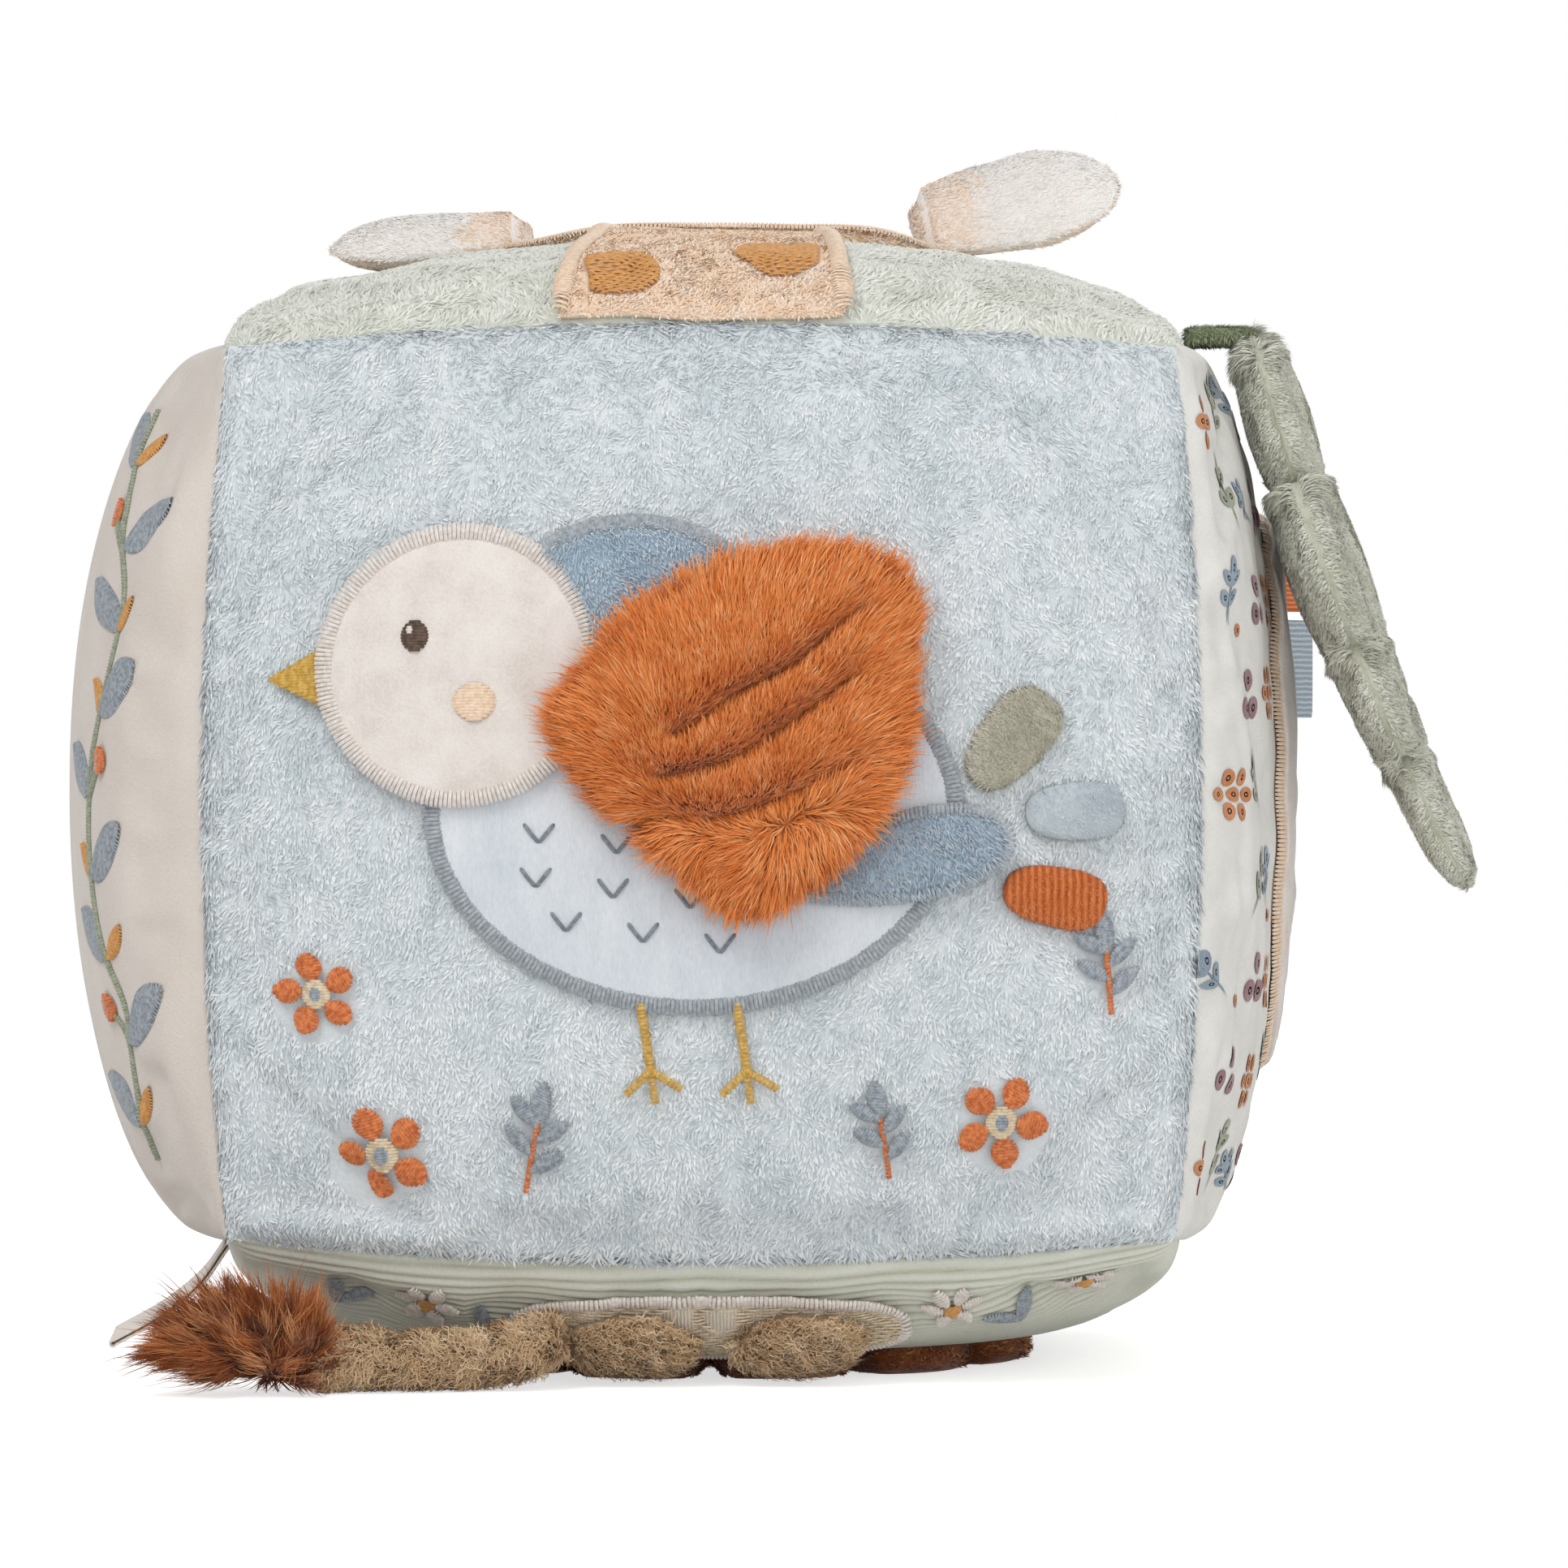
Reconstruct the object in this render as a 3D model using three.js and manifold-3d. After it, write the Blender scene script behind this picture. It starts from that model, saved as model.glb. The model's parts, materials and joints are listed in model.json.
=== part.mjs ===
// A stuffed cloth activity block: six crowned panels sewn over a fibre filling with a rattle inside, and
// stuffed flaps, ears, tags, a leaf, a tail and underside pads sewn on. Millimetres, +Z up, front towards -Y.
// The origin is on the table, under the middle of the block.

import * as THREE from 'three';
import { mergeVertices } from 'three/addons/utils/BufferGeometryUtils.js';
import Module from 'manifold-3d';

const wasm = await Module();
wasm.setup();

// The block
const blockWidth = 152;
const blockDepth = 152;
const blockHeight = 143;
const restRise = 20; // table to the lower seams
const cornerDrawShare = 0.045; // how far stuffing draws the corners in
const seamGap = 0.3; // air between pieces that touch
const pileCloth = 2; // thickness of a plush or corduroy panel
const thinCloth = 1.2; // thickness of a velour patch
const crownPowerShares = [2.2, 0.55]; // how square and how full a stuffed panel is
const panelCells = 10;
const softSides = 28; // points round a patch
const smallSides = 18; // points round a small pad
const formSides = 14; // points round a stuffed form
const ribbonSides = 8; // points round a ribbon or satin tag
const squareShare = 2.6; // how square a rounded patch is, 2 for an oval
const capBlendShare = 0.1; // how softly the flat sole runs into its rim

// How far each panel's middle swells past its seams
const frontCrown = 15;
const backCrown = 17;
const leftCrown = 26;
const rightCrown = 15;
const topCrown = 16;
const bottomCrown = 22;

// Patches and flaps lie on the cloth below them
const patchGap = 0.5; // clearance under a sewn patch
const patchStep = 0.3; // clearance between stacked patches

// Front: velour patches and the stuffed flap
const bodyPatchWidth = 78;
const bodyPatchHeight = 58;
const bodyPatchPlace = [-1, -3];
const headPatchRadius = 20;
const headPatchPlace = [-36, 19];
const backPatchWidth = 40;
const backPatchHeight = 30;
const backPatchPlace = [-10, 25];
const tailPatchLength = 34;
const tailPatchWidth = 15;
const tailPatchLean = 12;
const tailPatchPlace = [29, -10];

const flapLength = 57;
const flapPoints = 36;
const flapRings = 9;
const flapThickness = 8.5;
const flapEdgeShare = 0.4;
const flapPlace = [5, 9.5];
const flapChannelDepth = 2;
const flapChannelWidth = 2.6;
// Rim of the flap, from its sewn corner round the bottom, the free end and the top, over its length
const flapRimShares = [
  [-0.49, 0.03], [-0.4, -0.16], [-0.2, -0.34], [0, -0.48], [0.12, -0.49], [0.3, -0.33], [0.43, -0.17],
  [0.475, 0.12], [0.5, 0.36], [0.4, 0.47], [0.2, 0.49], [-0.02, 0.42], [-0.25, 0.3],
];
// Each channel's two ends, over the flap's length
const flapChannelShares = [
  [[-0.17, 0.03], [0.22, 0.25]],
  [[-0.22, -0.12], [0.28, 0.08]],
  [[-0.16, -0.24], [0.2, -0.13]],
];

// Front: folded cloth tags, each from its seam along its lean, in degrees above level
const clothTagThickness = 2.4;
const tagSides = 16;
const tagSquareShare = 3.2;
const khakiTag = { from: [41.2, 1.4], length: 17, width: 10.6, lean: 50 };
const paleTag = { from: [48.6, -3.2], length: 14.5, width: 9.4, lean: 3 };
const orangeTag = { from: [45.5, -14.2], length: 15.5, width: 9.8, lean: -12 };

// Top: patches and ears
const neckRootWidth = 45;
const neckTipWidth = 33;
const neckLength = 62;
const neckFrontMargin = 2.4;
const neckTurn = 2; // sideways shift of the neck's tip
const crownPatchWidth = 68;
const crownPatchDepth = 50;
const crownPatchPlace = [2, 15];
const earThickness = 10;
const earRootWidthShare = 0.5;
const earRootThickShare = 0.7;
const leftEar = { root: [-29, 18], length: 33, width: 25, rise: -4, sweep: 0, tilt: 15 };
const rightEar = { root: [32, 18], length: 35, width: 25, rise: 11, sweep: 0, tilt: 38 };

// Right side: padded patch, leaf on its strap, two ribbon tags
const sidePadHeight = 88;
const sidePadWidth = 76;
const sidePadThickness = 2.8;
const strapWidth = 12;
const strapThickness = 2.4;
const strapArch = 2.6; // how far the strap stands over its two ends
const leafPlace = -34; // along the side panel, from its middle
const leafHang = 0.5; // the leaf's top below the upper seam
const leafStandOff = 10.5; // the leaf's top outside the upper seam
const leafLength = 92;
const leafHalfWidth = 27;
const leafThickness = 13;
const leafSplay = 21.5; // degrees from upright
const leafBow = 2.5; // how far the leaf's middle leans in towards the block
const leafYaw = 10; // degrees that the leaf's rear edge turns out, clear of the swell
const leafLobeEndShares = [0.24, 0.53, 0.74, 1];
const leafLobeWidthShares = [0.66, 1, 0.84, 0.56];
const leafLobeBodyShares = [0.9, 1.04, 0.84, 0.66];
const leafNotchShare = 0.26; // how far the rim draws in between two lobes
const leafStepShare = 0.12; // how far the thickness does
const leafTipShare = 0.5; // how blunt the leaf ends
const leafStepsEach = 5;
const ribbonThickness = 1.8;
const ribbonFlare = 50; // degrees that a ribbon tag stands off the side
const ribbonLength = 15;
const orangeRibbon = { up: 36.6, width: 12 };
const blueRibbon = { up: 21, width: 16.5 };

// Underside: petal ring, stitched patch, pads and tail
const ringRadius = 52;
const ringDip = 7;
const ringHole = 30;
const ringLobes = 12;
const ringStepsEach = 5;
const ringThickness = 4.4;
const ringPlace = [1, 5]; // sideways, and towards the front
const soleFlat = 0.5; // the sole is cut flat this deep where it stands
const chestPatchWidth = 62;
const chestPatchHeight = 14;
const chestPatchPlace = [1, 66];
const padWidth = 19;
const padHeight = 11;
const padThickness = 4;
const leftPadPlace = [-11, 65.5];
const rightPadPlace = [15, 65.5];
const tailRadius = 4.7;
const tailSteps = 8;
const tailSides = 12;
const tailRootShare = 0.7; // root radius over the tail's
const tailRoot = [-23, 69.5]; // on the bottom panel
const tailBend = [-32, -74];
const tailTip = [-58, -79];
const tailClear = 0.4; // between the tail and the table
const tuftLength = 25;
const tuftWidth = 17;
const tuftHeight = 13;

// Lower left seam: blank satin tag
const seamTagLength = 24;
const seamTagWidth = 14;
const seamTagThickness = 1.2;
const seamTagPlace = -24; // along the seam, from the block's middle
const seamTagDroop = 41; // degrees below level

// Filling and rattle
const rattleRadius = 17;
const rattleWall = 1.8;
const rattleJoint = 0.3;
const pocketGap = 0.6;
const beadRadius = 2.6;
const beadCount = 4;
const roundSides = 16;
const cutOverrun = 5;

const degree = Math.PI / 180;
const halfWidth = blockWidth / 2;
const halfDepth = blockDepth / 2;
const halfHeight = blockHeight / 2;
const middleHeight = restRise + halfHeight;
const soleRise = ringThickness + seamGap; // table to the flat of the bottom panel

// Each panel: its outward, sideways and upward directions on the block, and how far it swells
const panels = {
  front: { out: [0, -1, 0], side: [1, 0, 0], up: [0, 0, 1], crown: frontCrown, flat: Infinity },
  back: { out: [0, 1, 0], side: [-1, 0, 0], up: [0, 0, 1], crown: backCrown, flat: Infinity },
  left: { out: [-1, 0, 0], side: [0, -1, 0], up: [0, 0, 1], crown: leftCrown, flat: Infinity },
  right: { out: [1, 0, 0], side: [0, 1, 0], up: [0, 0, 1], crown: rightCrown, flat: Infinity },
  top: { out: [0, 0, 1], side: [1, 0, 0], up: [0, 1, 0], crown: topCrown, flat: Infinity },
  bottom: {
    out: [0, 0, -1], side: [1, 0, 0], up: [0, -1, 0], crown: bottomCrown, flat: restRise - soleRise,
  },
};
const halves = new THREE.Vector3(halfWidth, halfDepth, halfHeight);
for (const panel of Object.values(panels)) {
  for (const way of ['out', 'side', 'up']) panel[way] = new THREE.Vector3(...panel[way]);
  panel.halfSide = Math.abs(panel.side.dot(halves));
  panel.halfUp = Math.abs(panel.up.dot(halves));
}

// A point of the sewn cage, from -1 to 1 along each axis, before the panels swell
function cagePoint(unit, inset) {
  const draw = (a, b) => 1 - cornerDrawShare * a * a * b * b;
  return new THREE.Vector3(
    unit.x * (halfWidth - inset) * draw(unit.y, unit.z),
    unit.y * (halfDepth - inset) * draw(unit.x, unit.z),
    unit.z * (halfHeight - inset) * draw(unit.x, unit.y) + middleHeight,
  );
}

// A smooth lesser-of-two, so that the flat of the sole runs into its rim without a crease
function capped(height, limit) {
  if (limit === Infinity) return height;
  const blendWidth = limit * capBlendShare;
  const over = (height - limit) / blendWidth;
  return limit + blendWidth * (over - Math.log1p(Math.exp(over)));
}

// A point of a swollen panel, u and v from -1 to 1 across it
function panelPoint(panel, u, v, inset) {
  const [power, fullness] = crownPowerShares;
  const unit = new THREE.Vector3()
    .addScaledVector(panel.side, u)
    .addScaledVector(panel.up, v)
    .add(panel.out);
  const share = Math.max(0, (1 - Math.abs(u) ** power) * (1 - Math.abs(v) ** power)) ** fullness;
  const swell = share > 0 ? capped(panel.crown * share, panel.flat) : 0;
  return cagePoint(unit, inset).addScaledVector(panel.out, Math.max(swell, 0));
}

// A point a and b millimetres from a panel's middle, lifted off its cloth along the true normal
function onPanel(panel, a, b, lift) {
  const u = a / panel.halfSide;
  const v = b / panel.halfUp;
  const step = 1 / panelCells / panelCells;
  const here = panelPoint(panel, u, v, 0);
  const alongSide = panelPoint(panel, u + step, v, 0).sub(panelPoint(panel, u - step, v, 0));
  const alongUp = panelPoint(panel, u, v + step, 0).sub(panelPoint(panel, u, v - step, 0));
  const normal = alongSide.cross(alongUp).normalize();
  return here.addScaledVector(normal, lift);
}

// Collects points and faces of one closed body
class Body {
  constructor() {
    this.points = [];
    this.faces = [];
  }

  add(point) {
    return this.points.push(point) - 1;
  }

  quad(a, b, c, d) {
    this.faces.push(a, b, c, a, c, d);
  }

  // Joins two rings of equal count; the first lies behind the second as seen along the turning axis
  band(first, second) {
    first.forEach((point, i) => {
      const next = (i + 1) % first.length;
      this.quad(point, first[next], second[next], second[i]);
    });
  }

  fan(middle, ring) {
    ring.forEach((point, i) => this.faces.push(middle, point, ring[(i + 1) % ring.length]));
  }

  geometry() {
    const geometry = new THREE.BufferGeometry();
    const flat = this.points.flatMap((point) => point.toArray());
    geometry.setAttribute('position', new THREE.Float32BufferAttribute(flat, 3));
    geometry.setIndex(this.faces);
    geometry.computeVertexNormals();
    return geometry;
  }
}

// Grid stations from -1 to 1, closer together at the edges, where a panel turns fastest
const stations = Array.from({ length: panelCells + 1 }, (_, i) => {
  const even = (2 * i) / panelCells - 1;
  return Math.sin((even * Math.PI) / 2);
});

// One cloth panel: a swollen skin with mitred rims
function panelSkin(panel) {
  const body = new Body();
  const shrinkSide = 1 - seamGap / panel.halfSide;
  const shrinkUp = 1 - seamGap / panel.halfUp;
  const layer = (inset) => stations.map((v) => stations.map((u) => (
    body.add(panelPoint(panel, u * shrinkSide, v * shrinkUp, inset)))));
  const inner = layer(pileCloth);
  const outer = layer(0);
  const rim = (rows) => {
    const last = panelCells;
    const around = [];
    for (let i = 0; i < last; i += 1) around.push(rows[0][i]);
    for (let i = 0; i < last; i += 1) around.push(rows[i][last]);
    for (let i = last; i > 0; i -= 1) around.push(rows[last][i]);
    for (let i = last; i > 0; i -= 1) around.push(rows[i][0]);
    return around;
  };
  for (let j = 0; j < panelCells; j += 1) {
    for (let i = 0; i < panelCells; i += 1) {
      body.quad(outer[j][i], outer[j][i + 1], outer[j + 1][i + 1], outer[j + 1][i]);
      body.quad(inner[j][i], inner[j + 1][i], inner[j + 1][i + 1], inner[j][i + 1]);
    }
  }
  body.band(rim(inner), rim(outer));
  return body.geometry();
}

// The filling that the six panels wrap, before its pocket is cut. It keeps every other station of the panels
function fillingSkin() {
  const body = new Body();
  const coarse = stations.filter((_, i) => i % 2 === 0);
  for (const panel of Object.values(panels)) {
    const inset = pileCloth + seamGap;
    const rows = coarse.map((v) => coarse.map((u) => body.add(panelPoint(panel, u, v, inset))));
    for (let j = 0; j < coarse.length - 1; j += 1) {
      for (let i = 0; i < coarse.length - 1; i += 1) {
        body.quad(rows[j][i], rows[j][i + 1], rows[j + 1][i + 1], rows[j + 1][i]);
      }
    }
  }
  return body.geometry();
}

// A pad sewn flat on a panel. The outline is points around its middle; crown is how square its top is,
// from 2 for a dome to 8 for a flat top, and relief presses channels into it
function sewnPad(panel, place, outline, shape) {
  const { lift, thickness, rings, crown = 2, edgeShare = 0.4, relief = () => 0 } = shape;
  const body = new Body();
  const at = (share, point, height) => {
    const a = place[0] + point[0] * share;
    const b = place[1] + point[1] * share;
    return body.add(onPanel(panel, a, b, height));
  };
  const topHeight = (share, point) => {
    const full = edgeShare + (1 - edgeShare) * Math.sqrt(Math.max(0, 1 - share ** crown));
    return lift + thickness * full - relief(point[0] * share, point[1] * share) * (1 - share ** 4);
  };
  const ringShare = (i) => Math.sin(((i + 1) / rings) * (Math.PI / 2));
  const ringsOf = (height) => Array.from({ length: rings }, (_, i) => (
    outline.map((point) => at(ringShare(i), point, height(ringShare(i), point)))));
  const under = ringsOf(() => lift);
  const over = ringsOf(topHeight);
  const centre = [0, 0];
  body.fan(at(0, centre, topHeight(0, centre)), over[0]);
  for (let i = 1; i < rings; i += 1) body.band(over[i - 1].slice().reverse(), over[i].slice().reverse());
  const underCentre = at(0, centre, lift);
  body.fan(underCentre, under[0].slice().reverse());
  for (let i = 1; i < rings; i += 1) body.band(under[i - 1], under[i]);
  body.band(under[rings - 1], over[rings - 1]);
  return body.geometry();
}

// Outlines, counter-clockwise around their middle
function ovalOutline(width, height, sides) {
  return Array.from({ length: sides }, (_, i) => {
    const turn = (2 * Math.PI * i) / sides;
    return [(width / 2) * Math.cos(turn), (height / 2) * Math.sin(turn)];
  });
}

function squaredOutline(width, height, sides, squareness) {
  return Array.from({ length: sides }, (_, i) => {
    const turn = (2 * Math.PI * i) / sides;
    const [c, s] = [Math.cos(turn), Math.sin(turn)];
    const reach = (Math.abs(c) ** squareness + Math.abs(s) ** squareness) ** (-1 / squareness);
    return [(width / 2) * c * reach, (height / 2) * s * reach];
  });
}

// A leaf or drop shape: round at one end and drawn to a blunt point at the other, turned by lean
function dropOutline(length, width, sides, lean) {
  return Array.from({ length: sides }, (_, i) => {
    const turn = (2 * Math.PI * i) / sides;
    const along = (length / 2) * Math.cos(turn);
    const across = (width / 2) * Math.sin(turn) * (1 - (1 - Math.cos(turn)) / 4);
    const [c, s] = [Math.cos(lean * degree), Math.sin(lean * degree)];
    return [along * c - across * s, along * s + across * c];
  });
}

function lobedOutline(radius, dip, lobes, stepsEach) {
  return Array.from({ length: lobes * stepsEach }, (_, i) => {
    const turn = (2 * Math.PI * i) / (lobes * stepsEach) - Math.PI / 2;
    const bulge = Math.sqrt(Math.abs(Math.sin((Math.PI * (i % stepsEach)) / stepsEach)));
    const reach = radius - dip * (1 - bulge);
    return [reach * Math.cos(turn), reach * Math.sin(turn)];
  });
}

// A stuffed form that swells and tapers: an oval section at each station along its middle line
function stuffedForm(sections, wide, sides) {
  const body = new Body();
  const rings = sections.map(({ at, halfAcross, halfThick }, i) => {
    const before = sections[Math.max(i - 1, 0)].at;
    const after = sections[Math.min(i + 1, sections.length - 1)].at;
    const along = after.clone().sub(before).normalize();
    const thick = along.clone().cross(wide).normalize();
    const across = thick.clone().cross(along).normalize();
    return Array.from({ length: sides }, (_, k) => {
      const turn = (2 * Math.PI * k) / sides;
      return body.add(at.clone()
        .addScaledVector(across, halfAcross * Math.cos(turn))
        .addScaledVector(thick, halfThick * Math.sin(turn)));
    });
  });
  for (let i = 1; i < rings.length; i += 1) body.band(rings[i - 1], rings[i]);
  const first = body.add(sections[0].at.clone());
  const last = body.add(sections[sections.length - 1].at.clone());
  body.fan(first, rings[0].slice().reverse());
  body.fan(last, rings[rings.length - 1]);
  return body.geometry();
}

function toSolid(geometry) {
  const bare = geometry.clone();
  bare.deleteAttribute('normal');
  bare.deleteAttribute('uv');
  const merged = mergeVertices(bare);
  return new wasm.Manifold(new wasm.Mesh({
    numProp: 3,
    vertProperties: new Float32Array(merged.attributes.position.array),
    triVerts: new Uint32Array(merged.index.array),
  }));
}

function fromSolid(solid) {
  const mesh = solid.getMesh();
  const geometry = new THREE.BufferGeometry();
  geometry.setAttribute('position', new THREE.BufferAttribute(mesh.vertProperties, 3));
  geometry.setIndex(new THREE.BufferAttribute(mesh.triVerts, 1));
  geometry.computeVertexNormals();
  return geometry;
}

function cutAway(geometry, ...tools) {
  return fromSolid(tools.reduce((solid, tool) => solid.subtract(toSolid(tool)), toSolid(geometry)));
}

// An upright cylinder between two heights
function upright(radius, low, high, x = 0, y = 0) {
  const cylinder = new THREE.CylinderGeometry(radius, radius, high - low, roundSides);
  return cylinder.rotateX(Math.PI / 2).translate(x, y, (low + high) / 2);
}

const object = new THREE.Group();

function addPiece(name, geometry, color, roughness = 0.95) {
  const material = new THREE.MeshStandardMaterial({ color, roughness, metalness: 0 });
  const mesh = new THREE.Mesh(geometry, material);
  mesh.name = name;
  object.add(mesh);
  return mesh;
}

// Filling, with a pocket bored from below for the rattle and a plug of filling under it
const pocketRadius = rattleRadius + pocketGap;
const pocketTop = middleHeight + pocketRadius;
const plugTop = middleHeight - pocketRadius;
addPiece('filling_core', cutAway(fillingSkin(), upright(pocketRadius, -cutOverrun, pocketTop)), '#e9e6df');
const plugBottom = soleRise + pileCloth + seamGap;
addPiece('filling_plug', upright(rattleRadius, plugBottom, plugTop - seamGap), '#efece6');

// The rattle: two half shells that meet at the middle, with beads at the bottom of the lower one
function halfShell(sign) {
  const inner = rattleRadius - rattleWall;
  const edge = Math.asin(rattleJoint / 2 / inner);
  const arc = (radius, from, to) => Array.from({ length: roundSides / 4 + 1 }, (_, i) => {
    const turn = from + ((to - from) * i) / (roundSides / 4);
    return new THREE.Vector2(Math.abs(radius * Math.cos(turn)), radius * Math.sin(turn));
  });
  const down = -Math.PI / 2;
  const profile = [...arc(rattleRadius, down, -edge), ...arc(inner, -edge, down)];
  profile[0].x = 0;
  profile[profile.length - 1].x = 0;
  const shell = new THREE.LatheGeometry(profile, roundSides).rotateX(Math.PI / 2);
  if (sign > 0) shell.rotateX(Math.PI);
  return shell.translate(0, 0, middleHeight);
}
addPiece('rattle_shell_lower', halfShell(-1), '#f3f2ee', 0.4);
addPiece('rattle_shell_upper', halfShell(1), '#f3f2ee', 0.4);

// Loose beads, side by side in the bottom of the bowl
const beadRing = (beadRadius + seamGap) / Math.sin(Math.PI / beadCount);
const bowlRadius = rattleRadius - rattleWall - beadRadius - seamGap;
const beadDrop = Math.sqrt(bowlRadius * bowlRadius - beadRing * beadRing);
for (let i = 0; i < beadCount; i += 1) {
  const turn = (2 * Math.PI * i) / beadCount;
  const bead = addPiece(`rattle_bead_${i + 1}`, new THREE.IcosahedronGeometry(beadRadius, 1), '#c9794a', 0.4);
  bead.position.set(beadRing * Math.cos(turn), beadRing * Math.sin(turn), middleHeight - beadDrop);
}

// The cover
addPiece('front_panel', panelSkin(panels.front), '#c3cfd6');
addPiece('back_panel', panelSkin(panels.back), '#e3d9cf');
addPiece('left_panel', panelSkin(panels.left), '#e8dfd5');
addPiece('right_panel', panelSkin(panels.right), '#e6e5df');
addPiece('top_panel', panelSkin(panels.top), '#bcc3b2');
addPiece('bottom_panel', panelSkin(panels.bottom), '#b1b59f');

// Front patches: the body lies on the panel, the head, back and tail on the body
const patchShape = (lift, rings = 3) => ({ lift, thickness: thinCloth, rings, crown: 8, edgeShare: 0.7 });
const bodyLift = patchGap;
const upperLift = bodyLift + thinCloth + patchStep;
const flapLift = upperLift + thinCloth + patchStep;
const headWidth = 2 * headPatchRadius;
const bodyOutline = ovalOutline(bodyPatchWidth, bodyPatchHeight, softSides);
const headOutline = ovalOutline(headWidth, headWidth, softSides);
const headRoom = ovalOutline(headWidth + 2 * patchStep, headWidth + 2 * patchStep, softSides);
const backOutline = ovalOutline(backPatchWidth, backPatchHeight, softSides);
const tailOutline = dropOutline(tailPatchLength, tailPatchWidth, softSides, tailPatchLean);
addPiece('body_patch', sewnPad(panels.front, bodyPatchPlace, bodyOutline, patchShape(bodyLift)), '#d0d7dd');
addPiece('head_patch', sewnPad(panels.front, headPatchPlace, headOutline, patchShape(upperLift)), '#e5ddd5');
addPiece(
  'back_patch',
  cutAway(
    sewnPad(panels.front, backPatchPlace, backOutline, patchShape(upperLift)),
    sewnPad(panels.front, headPatchPlace, headRoom,
      { lift: bodyLift, thickness: flapLift, rings: 3, crown: 8, edgeShare: 1 }),
  ),
  '#94abbf',
);
addPiece('tail_patch', sewnPad(panels.front, tailPatchPlace, tailOutline, patchShape(upperLift)), '#a9bccb');

// The stuffed flap, with its three sewn channels
function channelRelief(a, b) {
  let depth = 0;
  for (const [start, end] of flapChannelShares) {
    const from = new THREE.Vector2(...start).multiplyScalar(flapLength);
    const to = new THREE.Vector2(...end).multiplyScalar(flapLength);
    const along = to.clone().sub(from);
    const spot = new THREE.Vector2(a, b).sub(from);
    const share = THREE.MathUtils.clamp(spot.dot(along) / along.lengthSq(), 0, 1);
    const off = spot.sub(along.multiplyScalar(share)).length() / flapChannelWidth;
    depth = Math.max(depth, flapChannelDepth * Math.exp(-off * off));
  }
  return depth;
}
const flapCurve = new THREE.CatmullRomCurve3(
  flapRimShares.map(([a, b]) => new THREE.Vector3(a * flapLength, b * flapLength, 0)), true);
const flapOutline = flapCurve.getPoints(flapPoints).slice(0, flapPoints).map(({ x, y }) => [x, y]);
addPiece(
  'wing_flap',
  sewnPad(panels.front, flapPlace, flapOutline, {
    lift: flapLift, thickness: flapThickness, rings: flapRings, crown: 3, edgeShare: flapEdgeShare,
    relief: channelRelief,
  }),
  '#cc7a42',
);

// Folded cloth tags: flat pads with a rounded tip, from the seam outwards
function clothTag(tag) {
  const [c, s] = [Math.cos(tag.lean * degree), Math.sin(tag.lean * degree)];
  const middle = [tag.from[0] + (c * tag.length) / 2, tag.from[1] + (s * tag.length) / 2];
  const outline = squaredOutline(tag.length, tag.width, tagSides, tagSquareShare).map(([a, b]) => [a * c - b * s, a * s + b * c]);
  return sewnPad(panels.front, middle, outline, {
    lift: patchGap, thickness: clothTagThickness, rings: 3, crown: 6, edgeShare: 0.5,
  });
}
addPiece('tail_tag_khaki', clothTag(khakiTag), '#afac93');
addPiece('tail_tag_pale', clothTag(paleTag), '#d5dde0');
addPiece('tail_tag_orange', clothTag(orangeTag), '#cf7c52');

// Top patches: the neck runs from the front seam to the crown patch
function taperOutline(rootWidth, tipWidth, length, turn, steps) {
  const corners = [
    [-rootWidth / 2, -length / 2], [rootWidth / 2, -length / 2],
    [turn + tipWidth / 2, length / 2], [turn - tipWidth / 2, length / 2],
  ];
  return corners.flatMap((corner, i) => {
    const next = corners[(i + 1) % corners.length];
    return Array.from({ length: steps }, (_, k) => corner.map((value, j) => (
      value + ((next[j] - value) * k) / steps)));
  });
}
const neckMiddle = -panels.top.halfUp + neckFrontMargin + neckLength / 2;
const neckOutline = taperOutline(neckRootWidth, neckTipWidth, neckLength, neckTurn, 6);
const crownOutline = squaredOutline(crownPatchWidth, crownPatchDepth, softSides, squareShare);
addPiece('neck_patch', sewnPad(panels.top, [0, neckMiddle], neckOutline, patchShape(patchGap, 5)), '#ebc9a5');
addPiece(
  'crown_patch',
  sewnPad(panels.top, crownPatchPlace, crownOutline,
    { ...patchShape(patchGap, 4), thickness: pileCloth }),
  '#ebcdb2',
);

// A stuffed ear: narrow at its root, fullest past its middle, round at its tip
const crownTop = patchGap + pileCloth;
function earForm(ear, outward) {
  const fullest = 0.58;
  const profile = (share, root) => (share > fullest
    ? Math.sqrt(Math.max(0, 1 - ((share - fullest) / (1 - fullest)) ** 2))
    : root + (1 - root) * Math.sin(((Math.PI / 2) * share) / fullest));
  const [rise, sweep, tilt] = [ear.rise * degree, ear.sweep * degree, ear.tilt * degree];
  const rootRise = Math.hypot(
    (earThickness / 2) * earRootThickShare * Math.cos(tilt),
    (ear.width / 2) * earRootWidthShare * Math.sin(tilt),
  );
  const root = onPanel(panels.top, ear.root[0], ear.root[1], crownTop + seamGap + rootRise);
  const along = new THREE.Vector3(
    outward * Math.cos(rise) * Math.cos(sweep), Math.cos(rise) * Math.sin(sweep), Math.sin(rise));
  const wide = new THREE.Vector3(0, Math.cos(tilt), Math.sin(tilt));
  const shares = [0, 0.12, 0.28, 0.44, 0.58, 0.7, 0.81, 0.9, 0.965, 0.995];
  return stuffedForm(shares.map((share) => ({
    at: root.clone().addScaledVector(along, share * ear.length),
    halfAcross: (ear.width / 2) * profile(share, earRootWidthShare),
    halfThick: (earThickness / 2) * profile(share, earRootThickShare),
  })), wide, formSides);
}
addPiece('ear_left', earForm(leftEar, -1), '#f1e3db');
addPiece('ear_right', earForm(rightEar, 1), '#f1e3db');

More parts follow.
